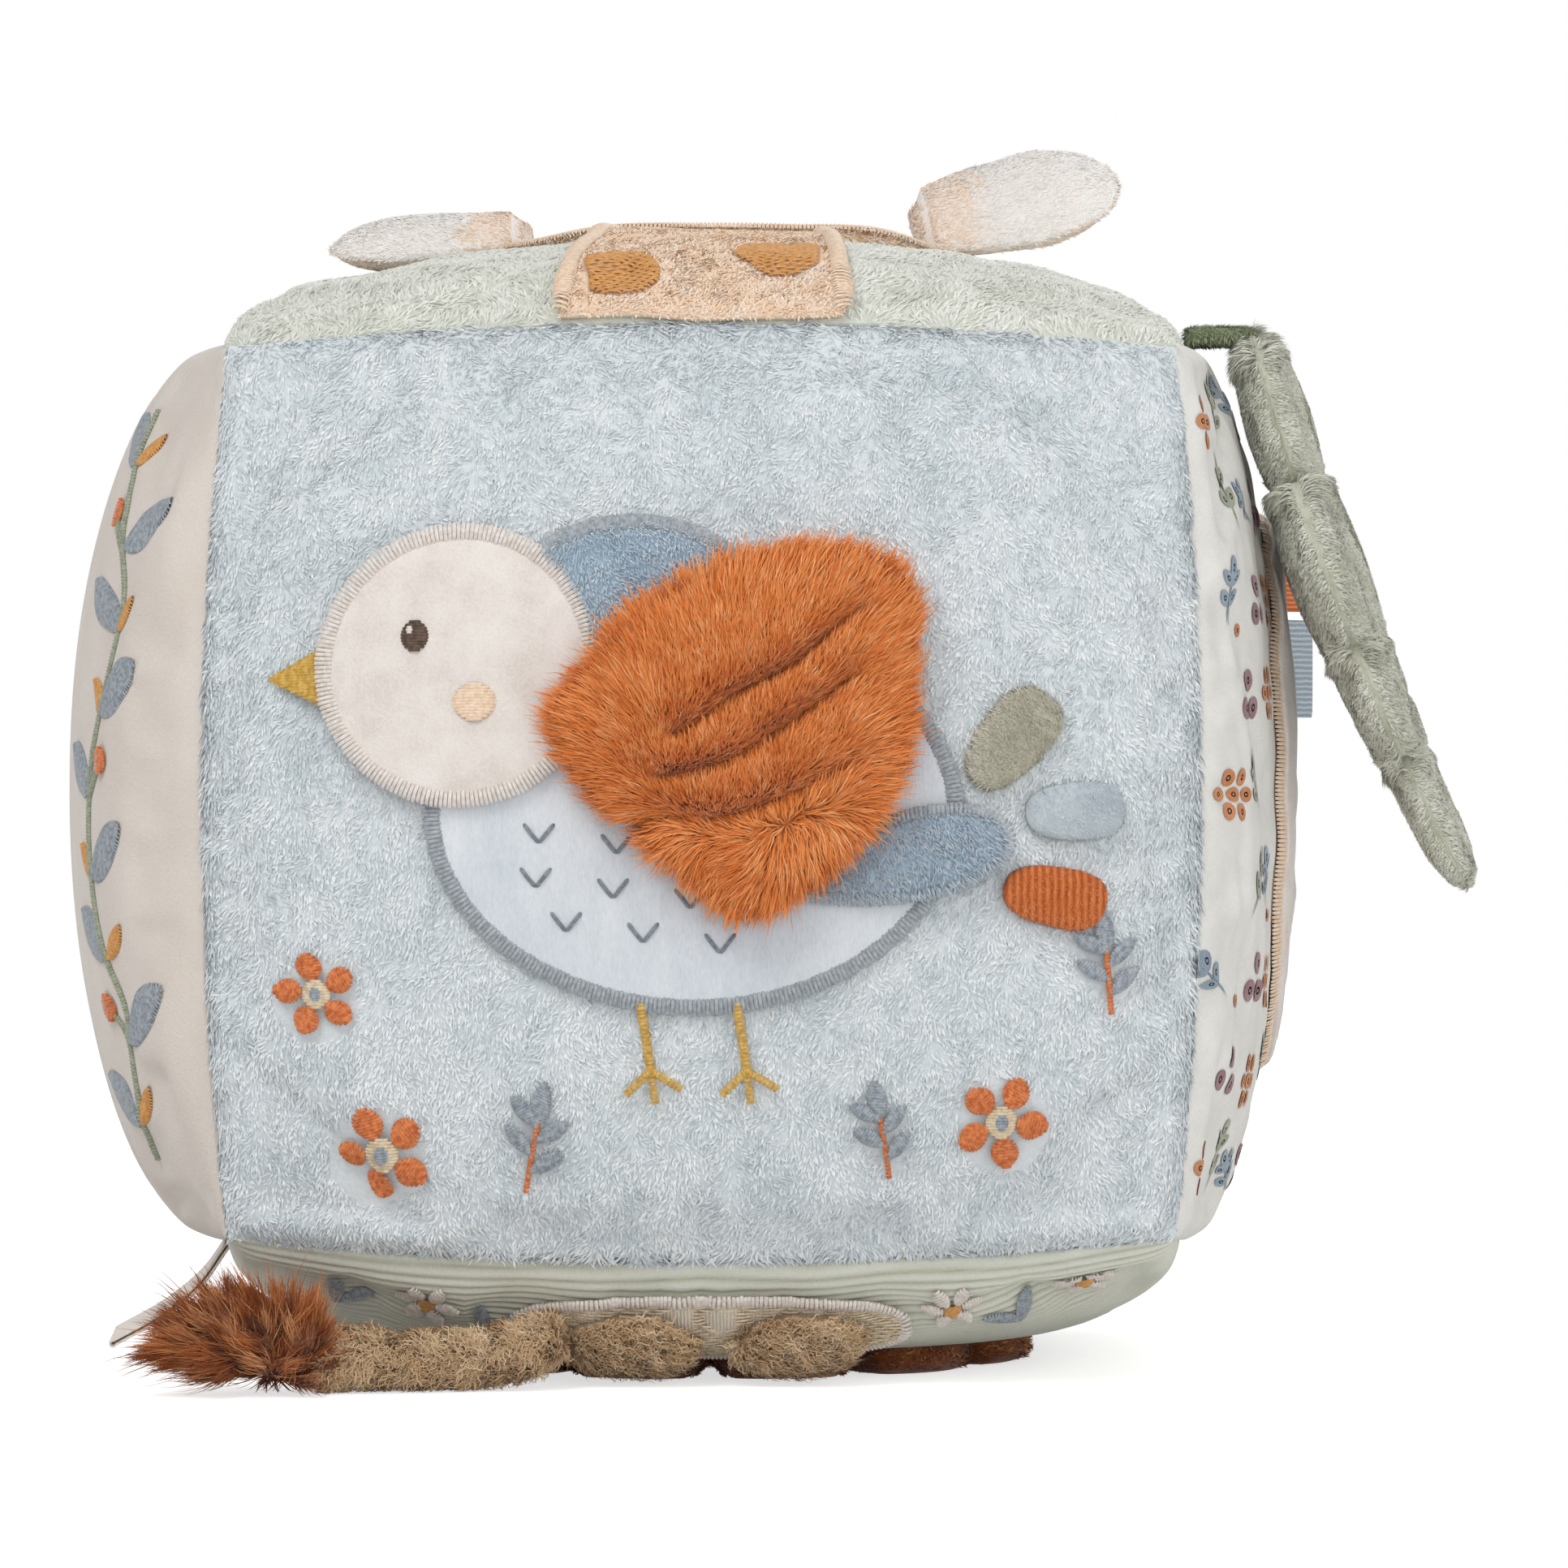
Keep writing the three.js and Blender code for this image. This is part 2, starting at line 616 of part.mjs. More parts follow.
// Right side: the padded patch
addPiece(
  'side_pad',
  sewnPad(panels.right, [0, 0], squaredOutline(sidePadWidth, sidePadHeight, softSides, squareShare),
    { lift: patchGap, thickness: sidePadThickness, rings: 5, crown: 6, edgeShare: 0.5 }),
  '#eadfd0',
);

// The leaf hangs from a strap in the upper seam, splayed by the swell of the side panel
const sideways = new THREE.Vector3(0, 1, 0);
const seamUnit = new THREE.Vector3(1, leafPlace / halfDepth, 1);
const upperSeam = cagePoint(seamUnit, 0);
const leafTop = upperSeam.clone().add(new THREE.Vector3(leafStandOff, 0, -leafHang));
const leafWay = new THREE.Vector3(Math.sin(leafSplay * degree), 0, -Math.cos(leafSplay * degree));
const leafIn = new THREE.Vector3(-Math.cos(leafSplay * degree), 0, -Math.sin(leafSplay * degree));

function leafForm() {
  const sections = [];
  leafLobeEndShares.forEach((end, lobe) => {
    const begin = lobe > 0 ? leafLobeEndShares[lobe - 1] : 0;
    const steps = lobe === leafLobeEndShares.length - 1 ? leafStepsEach + 1 : leafStepsEach;
    for (let i = 0; i < steps; i += 1) {
      const inLobe = i / leafStepsEach;
      const bulge = Math.sqrt(Math.sin(Math.PI * inLobe));
      const before = lobe > 0 ? lobe - 1 : lobe;
      const mix = Math.min(1, inLobe * 2);
      const level = (values) => (
        (values[before] + values[lobe]) / 2 * (1 - mix) + values[lobe] * mix);
      const root = lobe === 0 && i === 0;
      const tip = lobe === leafLobeEndShares.length - 1 && i > leafStepsEach / 2;
      const notch = 1 - leafNotchShare * (1 - bulge);
      const step = 1 - leafStepShare * (1 - bulge);
      const close = tip ? Math.max(bulge, leafTipShare) : 1;
      const down = begin + (end - begin) * inLobe;
      sections.push({
        at: leafTop.clone()
          .addScaledVector(leafWay, leafLength * down)
          .addScaledVector(leafIn, leafBow * Math.sin(Math.PI * down)),
        halfAcross: root ? strapWidth / 2 : leafHalfWidth * level(leafLobeWidthShares) * notch * close,
        halfThick: root ? strapThickness : (leafThickness / 2) * level(leafLobeBodyShares) * step * close,
      });
    }
  });
  const wide = new THREE.Vector3(Math.sin(leafYaw * degree), Math.cos(leafYaw * degree), 0);
  return stuffedForm(sections, wide, formSides);
}
addPiece('leaf', leafForm(), '#b8b8a6');

function strapForm() {
  const outAndUp = new THREE.Vector3(1, 0, 1).normalize();
  const from = upperSeam.clone().addScaledVector(outAndUp, strapThickness / 2 + 2 * seamGap);
  const to = leafTop.clone().addScaledVector(leafWay, -seamGap);
  const over = from.clone().lerp(to, 0.5).addScaledVector(outAndUp, strapArch);
  const bend = to.clone().addScaledVector(leafWay, -strapArch);
  const curve = new THREE.CatmullRomCurve3([from, over, bend, to]);
  return stuffedForm(curve.getPoints(8).map((at) => (
    { at, halfAcross: strapWidth / 2, halfThick: strapThickness / 2 })), sideways, ribbonSides);
}
addPiece('leaf_strap', strapForm(), '#97a389');

// Ribbon tags caught in the rear rim of the side pad
function ribbonTag(ribbon) {
  const root = onPanel(
    panels.right, sidePadWidth / 2 + ribbonThickness, ribbon.up, seamGap + ribbonThickness / 2);
  const way = new THREE.Vector3(Math.sin(ribbonFlare * degree), Math.cos(ribbonFlare * degree), 0);
  return stuffedForm([0, 0.33, 0.66, 1].map((share) => ({
    at: root.clone().addScaledVector(way, share * ribbonLength),
    halfAcross: ribbon.width / 2,
    halfThick: ribbonThickness / 2,
  })), new THREE.Vector3(0, 0, 1), ribbonSides);
}
addPiece('side_tag_orange', ribbonTag(orangeRibbon), '#dc8b58');
addPiece('side_tag_blue', ribbonTag(blueRibbon), '#b6c0cd');

// Underside: the ring of petals and its middle are cut flat where the block stands
const belowTable = new THREE.BoxGeometry(blockWidth, blockDepth, restRise).translate(0, 0, -restRise / 2);
const ringPad = sewnPad(panels.bottom, ringPlace,
  lobedOutline(ringRadius, ringDip, ringLobes, ringStepsEach),
  { lift: seamGap, thickness: ringThickness + soleFlat, rings: 4, crown: 6, edgeShare: 0.3 });
const ringAt = [ringPlace[0], -ringPlace[1]];
const ringCore = upright(ringHole, -restRise, restRise, ...ringAt);
addPiece('petal_ring', cutAway(ringPad, ringCore, belowTable), '#7a4526');
addPiece(
  'petal_centre',
  cutAway(sewnPad(panels.bottom, ringPlace,
    ovalOutline(2 * (ringHole - seamGap), 2 * (ringHole - seamGap), roundSides),
    { lift: seamGap, thickness: ringThickness + soleFlat, rings: 4, crown: 6, edgeShare: 0.3 }), belowTable),
  '#b89c7c',
);
const chestOutline = squaredOutline(chestPatchWidth, chestPatchHeight, softSides, squareShare);
addPiece(
  'chest_patch',
  sewnPad(panels.bottom, chestPatchPlace, chestOutline, patchShape(patchGap)),
  '#c9bdb4',
);
for (const [name, place] of [['pad_left', leftPadPlace], ['pad_right', rightPadPlace]]) {
  addPiece(name, sewnPad(panels.bottom, place, ovalOutline(padWidth, padHeight, smallSides),
    { lift: upperLift, thickness: padThickness, rings: 3, crown: 2.4, edgeShare: 0.35 }), '#b89c7c');
}

// The tail lies on the table beside the block and ends in a tuft
const tailHeight = tailRadius + tailClear;
const tailStart = onPanel(panels.bottom, ...tailRoot, upperLift + tailRadius * tailRootShare);
const tailCurve = new THREE.CatmullRomCurve3([
  tailStart,
  new THREE.Vector3(...tailBend, tailHeight),
  new THREE.Vector3(...tailTip, tailHeight),
]);
addPiece('tail_tube', stuffedForm(tailCurve.getPoints(tailSteps).map((at, i) => {
  const radius = i === 0 ? tailRadius * tailRootShare : tailRadius;
  return { at, halfAcross: radius, halfThick: Math.min(radius, at.z - tailClear) };
}), sideways, tailSides), '#b09272');

const tailEnd = new THREE.Vector3(...tailTip, tailHeight);
const tailWay = tailCurve.getTangent(1);
const tuftWidthShares = [0.5, 0.72, 0.9, 1, 0.94, 0.7, 0.3];
const tuftRise = tuftHeight / 2 + tailClear;
addPiece('tail_tuft', stuffedForm(tuftWidthShares.map((share, i) => {
  const along = i / (tuftWidthShares.length - 1);
  const at = tailEnd.clone().addScaledVector(tailWay, 2 * seamGap + tuftLength * along);
  at.z += (tuftRise - tailHeight) * Math.min(1, (2 * along) ** 2);
  return { at, halfAcross: (tuftWidth / 2) * share, halfThick: Math.min((tuftHeight / 2) * share, at.z - tailClear) };
}), sideways, tailSides), '#a86b3f');

// The blank satin tag in the lower left seam
const lowerSeam = cagePoint(new THREE.Vector3(-1, seamTagPlace / halfDepth, -1), 0);
const outAndDown = new THREE.Vector3(-1, 0, -1).normalize();
const tagStart = lowerSeam.addScaledVector(outAndDown, seamTagThickness / 2 + seamGap);
const tagWay = new THREE.Vector3(-Math.cos(seamTagDroop * degree), 0, -Math.sin(seamTagDroop * degree));
addPiece('seam_tag', stuffedForm([0, 0.5, 1].map((share) => ({
  at: tagStart.clone().addScaledVector(tagWay, share * seamTagLength),
  halfAcross: seamTagWidth / 2,
  halfThick: seamTagThickness / 2,
})), sideways, ribbonSides), '#d8cdc1', 0.5);

export default object;
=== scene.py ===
import json
import math

import bpy
import numpy as np
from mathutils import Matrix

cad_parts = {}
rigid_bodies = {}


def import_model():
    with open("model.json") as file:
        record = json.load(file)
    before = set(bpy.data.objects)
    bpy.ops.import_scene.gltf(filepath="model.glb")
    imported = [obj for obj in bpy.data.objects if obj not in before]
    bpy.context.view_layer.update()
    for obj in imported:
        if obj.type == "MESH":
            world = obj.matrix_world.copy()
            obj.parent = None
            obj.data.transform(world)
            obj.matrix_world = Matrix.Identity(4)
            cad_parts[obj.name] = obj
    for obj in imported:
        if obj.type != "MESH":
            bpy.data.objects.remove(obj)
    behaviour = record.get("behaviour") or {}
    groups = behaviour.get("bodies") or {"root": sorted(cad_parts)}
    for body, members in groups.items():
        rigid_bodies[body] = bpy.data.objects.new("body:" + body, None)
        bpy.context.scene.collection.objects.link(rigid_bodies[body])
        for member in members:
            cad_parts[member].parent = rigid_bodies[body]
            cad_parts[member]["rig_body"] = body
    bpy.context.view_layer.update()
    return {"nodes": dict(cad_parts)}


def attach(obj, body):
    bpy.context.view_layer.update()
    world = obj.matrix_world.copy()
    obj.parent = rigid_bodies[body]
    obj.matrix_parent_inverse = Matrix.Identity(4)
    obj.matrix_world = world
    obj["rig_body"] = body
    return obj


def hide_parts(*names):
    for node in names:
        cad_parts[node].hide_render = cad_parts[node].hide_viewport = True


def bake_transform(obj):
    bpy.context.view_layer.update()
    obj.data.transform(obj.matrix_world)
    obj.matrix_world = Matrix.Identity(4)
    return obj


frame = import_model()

# A stuffed cloth activity block, dressed in plush, velour, corduroy, muslin, satin and embroidery thread.
# Lengths here are millimetres, turned to metres where a mesh is made. +Z is up and the front faces -Y.

MM = 0.001
DEGREE = math.pi / 180
chance = np.random.default_rng(7)

# The block, as the frame's pieces have it
BLOCK = np.array([152.0, 152.0, 143.0])
HALF = BLOCK / 2
REST_RISE = 20.0                # table to the lower seams
MIDDLE = REST_RISE + HALF[2]
CORNER_DRAW = 0.045             # how far stuffing draws the corners in
CROWN_POWERS = (2.2, 0.55)      # how square and how full a stuffed panel is
CAP_BLEND = 0.1                 # how softly the flat sole runs into its rim
RING_THICKNESS = 4.4
SEAM_GAP = 0.3
SEWN_GAP = 0.004                # between two panels at the seam that joins them
PATCH_GAP = 0.5
PATCH_STEP = 0.3
THIN_CLOTH = 1.2
PILE_CLOTH = 2.0
TABLE_CLEAR = 0.1               # fibres bend where they meet the table
SOLE_LIMIT = REST_RISE - RING_THICKNESS - SEAM_GAP

PANELS = {
    "front": {"out": (0, -1, 0), "side": (1, 0, 0), "up": (0, 0, 1), "crown": 15.0},
    "back": {"out": (0, 1, 0), "side": (-1, 0, 0), "up": (0, 0, 1), "crown": 17.0},
    "left": {"out": (-1, 0, 0), "side": (0, -1, 0), "up": (0, 0, 1), "crown": 26.0},
    "right": {"out": (1, 0, 0), "side": (0, 1, 0), "up": (0, 0, 1), "crown": 15.0},
    "top": {"out": (0, 0, 1), "side": (1, 0, 0), "up": (0, 1, 0), "crown": 16.0},
    "bottom": {"out": (0, 0, -1), "side": (1, 0, 0), "up": (0, -1, 0), "crown": 22.0},
}
for panel in PANELS.values():
    for way in ("out", "side", "up"):
        panel[way] = np.array(panel[way], float)
    panel["half_side"] = abs(panel["side"] @ HALF)
    panel["half_up"] = abs(panel["up"] @ HALF)
    panel["limit"] = SOLE_LIMIT if panel is PANELS["bottom"] else math.inf


# Smooth random fields and directions

NOISE_VALUES = 4096
NOISE_PRIMES = (73856093, 19349663, 83492791)


def smooth_noise(points, size, seed):
    """Noise from -1 to 1 whose lumps are about size across, at points of two or three coordinates."""
    table = np.random.default_rng(seed).uniform(-1, 1, NOISE_VALUES)
    cell = np.floor(points / size).astype(np.int64)
    part = points / size - cell
    part = part * part * (3 - 2 * part)
    primes = np.array(NOISE_PRIMES)[: points.shape[-1]]
    total = np.zeros(points.shape[:-1])
    for corner in np.ndindex(*(2,) * points.shape[-1]):
        step = np.array(corner)
        weight = np.prod(np.where(step == 1, part, 1 - part), axis=-1)
        total += weight * table[((cell + step) * primes).sum(-1) % NOISE_VALUES]
    return total


def wander(points, size, seed):
    """Three fields of noise, as one vector at each point."""
    return np.stack([smooth_noise(points, size, seed + k) for k in range(3)], -1)


def unit(vectors):
    return vectors / np.maximum(np.linalg.norm(vectors, axis=-1, keepdims=True), 1e-9)


def heading(turn):
    """The flat direction at a turn, in degrees."""
    return np.array([math.cos(turn * DEGREE), math.sin(turn * DEGREE)])


def axes_at(turn):
    """The flat directions along and across a turn, in degrees."""
    way = heading(turn)
    return way, np.array([-way[1], way[0]])


# The stuffed cover

def capped(height, limit):
    """The lesser of height and limit, with a soft bend between them."""
    if limit == math.inf:
        return height
    width = limit * CAP_BLEND
    return limit - width * np.logaddexp(0, -(height - limit) / width)


def panel_point(panel, u, v, inset=0.0):
    """Points of the plain pillow, u and v from -1 to 1 across a panel."""
    at = u[..., None] * panel["side"] + v[..., None] * panel["up"] + panel["out"]
    x, y, z = at[..., 0], at[..., 1], at[..., 2]
    draw = lambda a, b: 1 - CORNER_DRAW * a * a * b * b
    cage = np.stack([
        x * (HALF[0] - inset) * draw(y, z),
        y * (HALF[1] - inset) * draw(x, z),
        z * (HALF[2] - inset) * draw(x, y) + MIDDLE,
    ], -1)
    power, fullness = CROWN_POWERS
    share = np.clip((1 - np.abs(u) ** power) * (1 - np.abs(v) ** power), 0, None) ** fullness
    swell = np.where(share > 0, capped(panel["crown"] * share, panel["limit"]), 0)
    return cage + np.maximum(swell, 0)[..., None] * panel["out"]


SETTLE_CELLS = 44               # cells across each panel while the cloth settles
SETTLE_CAP = 1.0                # how far stuffing moves the settled cover
SETTLE_STEPS = 20


def blown_up(mesh, seam_points, **settings):
    """Swells a mesh as airtight cloth held along its seams, and gives where its points come to lie, in metres."""
    piece = bpy.data.objects.new("swelling", mesh)
    bpy.context.scene.collection.objects.link(piece)
    piece.vertex_groups.new(name="seam").add([int(k) for k in seam_points], 1.0, "REPLACE")
    cloth = piece.modifiers.new("cloth", "CLOTH")
    for key, value in settings.items():
        setattr(cloth.settings, key, value)
    cloth.settings.use_pressure = True
    cloth.settings.vertex_group_mass = "seam"
    cloth.settings.effector_weights.gravity = 0
    cloth.collision_settings.use_collision = False
    for step in range(1, SETTLE_STEPS + 1):
        bpy.context.scene.frame_set(step)
    settled = piece.evaluated_get(bpy.context.evaluated_depsgraph_get()).data
    after = np.empty(len(mesh.vertices) * 3)
    settled.vertices.foreach_get("co", after)
    bpy.context.scene.frame_set(1)
    bpy.data.objects.remove(piece)
    return after


def held_to(moved, cap):
    """Movements that level off at a cap."""
    length = np.linalg.norm(moved, axis=1, keepdims=True)
    return moved * (cap * np.tanh(length / cap) / np.maximum(length, 1e-9))


def settle_cover():
    """Lets the six sewn panels swell and pucker as cloth, and keeps how far each grid point moved."""
    ticks = np.linspace(-1, 1, SETTLE_CELLS + 1)
    u, v = np.meshgrid(ticks, ticks)
    found, points, faces = {}, [], []
    for panel in PANELS.values():
        grid = panel_point(panel, u, v)
        index = np.empty(u.shape, int)
        for place in np.ndindex(u.shape):
            key = tuple(np.round(grid[place], 3) + 0.0)
            if key not in found:
                found[key] = len(points)
                points.append(grid[place])
            index[place] = found[key]
        panel["index"] = index
        for j, i in np.ndindex(SETTLE_CELLS, SETTLE_CELLS):
            faces.append([index[j, i], index[j, i + 1], index[j + 1, i + 1], index[j + 1, i]])
    start = np.array(points)
    mesh = bpy.data.meshes.new("cover_cloth")
    mesh.from_pydata((start * MM).tolist(), [], faces)
    edge = np.zeros(len(start), bool)
    for panel in PANELS.values():
        for rim in (panel["index"][0], panel["index"][-1], panel["index"][:, 0], panel["index"][:, -1]):
            edge[rim] = True
    after = blown_up(mesh, np.flatnonzero(edge), quality=6, mass=0.25, tension_stiffness=30,
                     compression_stiffness=30, shear_stiffness=8, bending_stiffness=0.35, shrink_min=-0.035,
                     uniform_pressure_force=4, pin_stiffness=8)
    moved = held_to(after.reshape(-1, 3) / MM - start, SETTLE_CAP)
    for panel in PANELS.values():
        panel["moved"] = moved[panel["index"]]
    bpy.data.meshes.remove(mesh)


def between(grid, u, v):
    """Values of a square grid over -1 to 1, joined by smooth curves."""
    last = grid.shape[0] - 1
    total = 0
    places = [np.clip((t + 1) / 2, 0, 1) * last for t in (v, u)]
    cells = [np.minimum(np.floor(p).astype(int), last - 1) for p in places]
    parts = [p - c for p, c in zip(places, cells)]
    weights = [[
        -0.5 * t + t * t - 0.5 * t ** 3,
        1 - 2.5 * t * t + 1.5 * t ** 3,
        0.5 * t + 2 * t * t - 1.5 * t ** 3,
        -0.5 * t * t + 0.5 * t ** 3,
    ] for t in parts]
    for j in range(4):
        for i in range(4):
            row = np.clip(cells[0] + j - 1, 0, last)
            column = np.clip(cells[1] + i - 1, 0, last)
            total = total + (weights[0][j] * weights[1][i])[..., None] * grid[row, column]
    return total


def fold_line(a, b, start, end, depth, width):
    """Depth of a pressed fold that runs from start to end on a panel and fades at both ends."""
    start, end = np.array(start), np.array(end)
    along = end - start
    share = ((a - start[0]) * along[0] + (b - start[1]) * along[1]) / (along @ along)
    held = np.clip(share, 0, 1)
    off = np.hypot(a - start[0] - held * along[0], b - start[1] - held * along[1])
    fade = np.sin(np.pi * np.clip(share * 0.86 + 0.07, 0, 1)) ** 0.6
    return depth * fade * np.exp(-((off / width) ** 2))


# Folds that the sewing leaves: panel, start, end, depth, width, all in millimetres
FOLDS = [
    ("front", (-56.0, 70.0), (-72.0, 44.0), 1.7, 2.4),
    ("top", (-57.0, -75.0), (-66.0, -62.0), 2.4, 2.6),
    ("top", (-44.0, -74.0), (-30.0, -66.0), 1.6, 2.2),
    ("top", (24.0, -74.0), (36.0, -64.0), 1.4, 2.4),
    ("top", (52.0, -74.0), (60.0, -60.0), 2.0, 2.6),
    ("left", (66.0, 40.0), (50.0, 12.0), 1.6, 5.0),
    ("left", (68.0, -20.0), (54.0, -46.0), 1.6, 5.0),
    ("right", (-68.0, 30.0), (-56.0, 2.0), 1.2, 4.0),
    ("right", (-68.0, -22.0), (-58.0, -52.0), 1.2, 4.0),
    ("bottom", (-58.0, 72.0), (-50.0, 58.0), 1.5, 3.0),
    ("bottom", (50.0, 72.0), (60.0, 58.0), 1.5, 3.0),
]


def skin(panel, u, v):
    """Points of the settled cover."""
    at = panel_point(panel, u, v) + between(panel["moved"], u, v)
    a, b = u * panel["half_side"], v * panel["half_up"]
    raised = panel["relief"](a, b) if "relief" in panel else np.zeros(a.shape)
    for name, start, end, depth, width in FOLDS:
        if PANELS[name] is panel:
            raised = raised - fold_line(a, b, start, end, depth, width)
    return at + raised[..., None] * panel["out"]


def skin_frame(panel, u, v):
    """Points, normals and sideways directions of the settled cover."""
    step = 0.012
    across = skin(panel, u + step, v) - skin(panel, u - step, v)
    upward = skin(panel, u, v + step) - skin(panel, u, v - step)
    return skin(panel, u, v), unit(np.cross(across, upward)), unit(across)


def on_panel(name, a, b, lift):
    """Points a and b millimetres from a panel's middle, lifted off its cloth."""
    panel = PANELS[name]
    a, b = np.asarray(a, float), np.asarray(b, float)
    at, normal, _ = skin_frame(panel, a / panel["half_side"], b / panel["half_up"])
    return at + normal * np.asarray(lift)[..., None]


def panel_spot(name, a, b, lift):
    """One point a and b millimetres from a panel's middle, lifted off its cloth."""
    return on_panel(name, *(np.array([float(x)]) for x in (a, b, lift)))[0]


# Making meshes

def make_mesh(name, points, *face_sets):
    """A mesh from points in millimetres and arrays of faces, one array for each face size."""
    face_sets = [np.asarray(f, int) for f in face_sets if len(f)]
    corners = np.concatenate([f.ravel() for f in face_sets])
    sizes = np.concatenate([np.full(len(f), f.shape[1]) for f in face_sets])
    mesh = bpy.data.meshes.new(name)
    mesh.vertices.add(len(points))
    mesh.vertices.foreach_set("co", (np.asarray(points) * MM).astype(np.float32).ravel())
    mesh.loops.add(len(corners))
    mesh.loops.foreach_set("vertex_index", corners.astype(np.int32))
    mesh.polygons.add(len(sizes))
    mesh.polygons.foreach_set("loop_start", (np.cumsum(sizes) - sizes).astype(np.int32))
    mesh.update(calc_edges=True)
    mesh.polygons.foreach_set("use_smooth", np.ones(len(sizes), bool))
    return mesh


def add_piece(name, mesh, material, body, node=None):
    """A piece of the object: a mesh with its material. body is what it moves with, or (body, other body, start,
    end) for cloth between two, which is left unattached; node is the solid that it stands for, which is hidden."""
    piece = bpy.data.objects.new(name, mesh)
    bpy.context.scene.collection.objects.link(piece)
    mesh.materials.append(own_materials[material])
    if isinstance(body, tuple):
        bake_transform(piece)
    else:
        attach(piece, body)
    if node:
        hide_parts(node)
    return piece


def set_map(mesh, name, spots):
    """Gives a mesh a map that puts each of its points at its spot."""
    corner_points = np.empty(len(mesh.loops), np.int32)
    mesh.loops.foreach_get("vertex_index", corner_points)
    mesh.uv_layers.new(name=name).data.foreach_set("uv", spots[corner_points].astype(np.float32).ravel())


def grid_quads(rows, columns, wrap=False, first=0):
    """Quads between neighbouring points of a grid; wrap joins the last column to the first."""
    j, i = np.meshgrid(np.arange(rows - 1), np.arange(columns if wrap else columns - 1), indexing="ij")
    right = (i + 1) % columns
    return first + np.stack([
        j * columns + i, j * columns + right, (j + 1) * columns + right, (j + 1) * columns + i,
    ], -1).reshape(-1, 4)


def ring_stack(name, rings):
    """A closed mesh from a stack of rings of equal count, with a middle point over each end ring."""
    rows, columns = rings.shape[:2]
    points = np.concatenate([rings.reshape(-1, 3), rings[0].mean(0)[None], rings[-1].mean(0)[None]])
    turn = np.arange(columns)
    after = (turn + 1) % columns
    low = np.stack([np.full(columns, rows * columns), after, turn], -1)
    base = (rows - 1) * columns
    high = np.stack([np.full(columns, rows * columns + 1), base + turn, base + after], -1)
    return make_mesh(name, points, grid_quads(rows, columns, wrap=True), np.concatenate([low, high]))


# Pile, fur and curls

ROOT_SINK = 0.15                # how deep fibres and threads are rooted in the cloth
FIBRE_TWIST = 0.25              # how far a fibre's flat side leans, at random
FIBRE_TAPER = (0.75, 1.0, 0.8, 0.55, 0.4)       # width at each step from the root
FIBRE_WAVE_STEP = 2.4           # radians of the wave in each step
FIBRE_MAP = (0.0015, 0.3)       # half its width and its whole height on its own map
LENGTH_SPREAD = 0.22
SHADE_DRIFT = 0.22              # how far the shade wanders from lump to lump
SHADE_SEED = 31


def pile_mesh(name, roots, normals, lay, length, width, lean, shade, steps=2, wave=0.0):
    """Many tapering tufts of fibre as one mesh. lean is a pair of angles from upright, in degrees, at root and
    tip. A tuft's shade runs along u of its own map, and its way from root to tip along v."""
    count = len(roots)
    length, width = (np.broadcast_to(x, count).astype(float) for x in (length, width))
    start, end = (np.broadcast_to(x, count) * DEGREE for x in lean)
    shares = np.linspace(0, 1, steps + 1)
    side = unit(np.cross(normals, lay) + normals * chance.normal(0, FIBRE_TWIST, (count, 1)))
    phase = chance.uniform(0, 2 * math.pi, count)
    at = roots.copy()
    rings = [at]
    for step in range(steps):
        angle = start + (end - start) * (step + 0.5) / steps
        at = at + (length / steps)[:, None] * (
            np.cos(angle)[:, None] * normals + np.sin(angle)[:, None] * lay)
        swing = wave * np.sin(phase + FIBRE_WAVE_STEP * (step + 1))[:, None] if wave else 0.0
        rings.append(at + swing * side)
    points = []
    for step in range(steps):
        half = (width * FIBRE_TAPER[step] / 2)[:, None] * side
        points += [rings[step] - half, rings[step] + half]
    points = np.stack(points + [rings[steps]], 1)
    points[..., 2] = np.maximum(points[..., 2], TABLE_CLEAR)
    corners = 2 * steps + 1
    first = np.arange(count)[:, None] * corners
    quads = [first + np.array([2 * s, 2 * s + 1, 2 * s + 3, 2 * s + 2]) for s in range(steps - 1)]
    tips = first + np.array([2 * steps - 2, 2 * steps - 1, 2 * steps])
    face_sets = [np.concatenate(quads)] if quads else []
    mesh = make_mesh(name, points.reshape(-1, 3), *face_sets, tips)
    spread, rise = FIBRE_MAP
    u = np.repeat(np.clip(shade, 0.01, 0.99), corners).reshape(count, corners)
    u = u + np.array([(-spread, spread)[k % 2] for k in range(2 * steps)] + [0])
    v = np.repeat(shares * rise, 2)[: corners]
    set_map(mesh, "OFBake", np.stack([u, np.broadcast_to(v, u.shape)], -1).reshape(-1, 2))
    return mesh


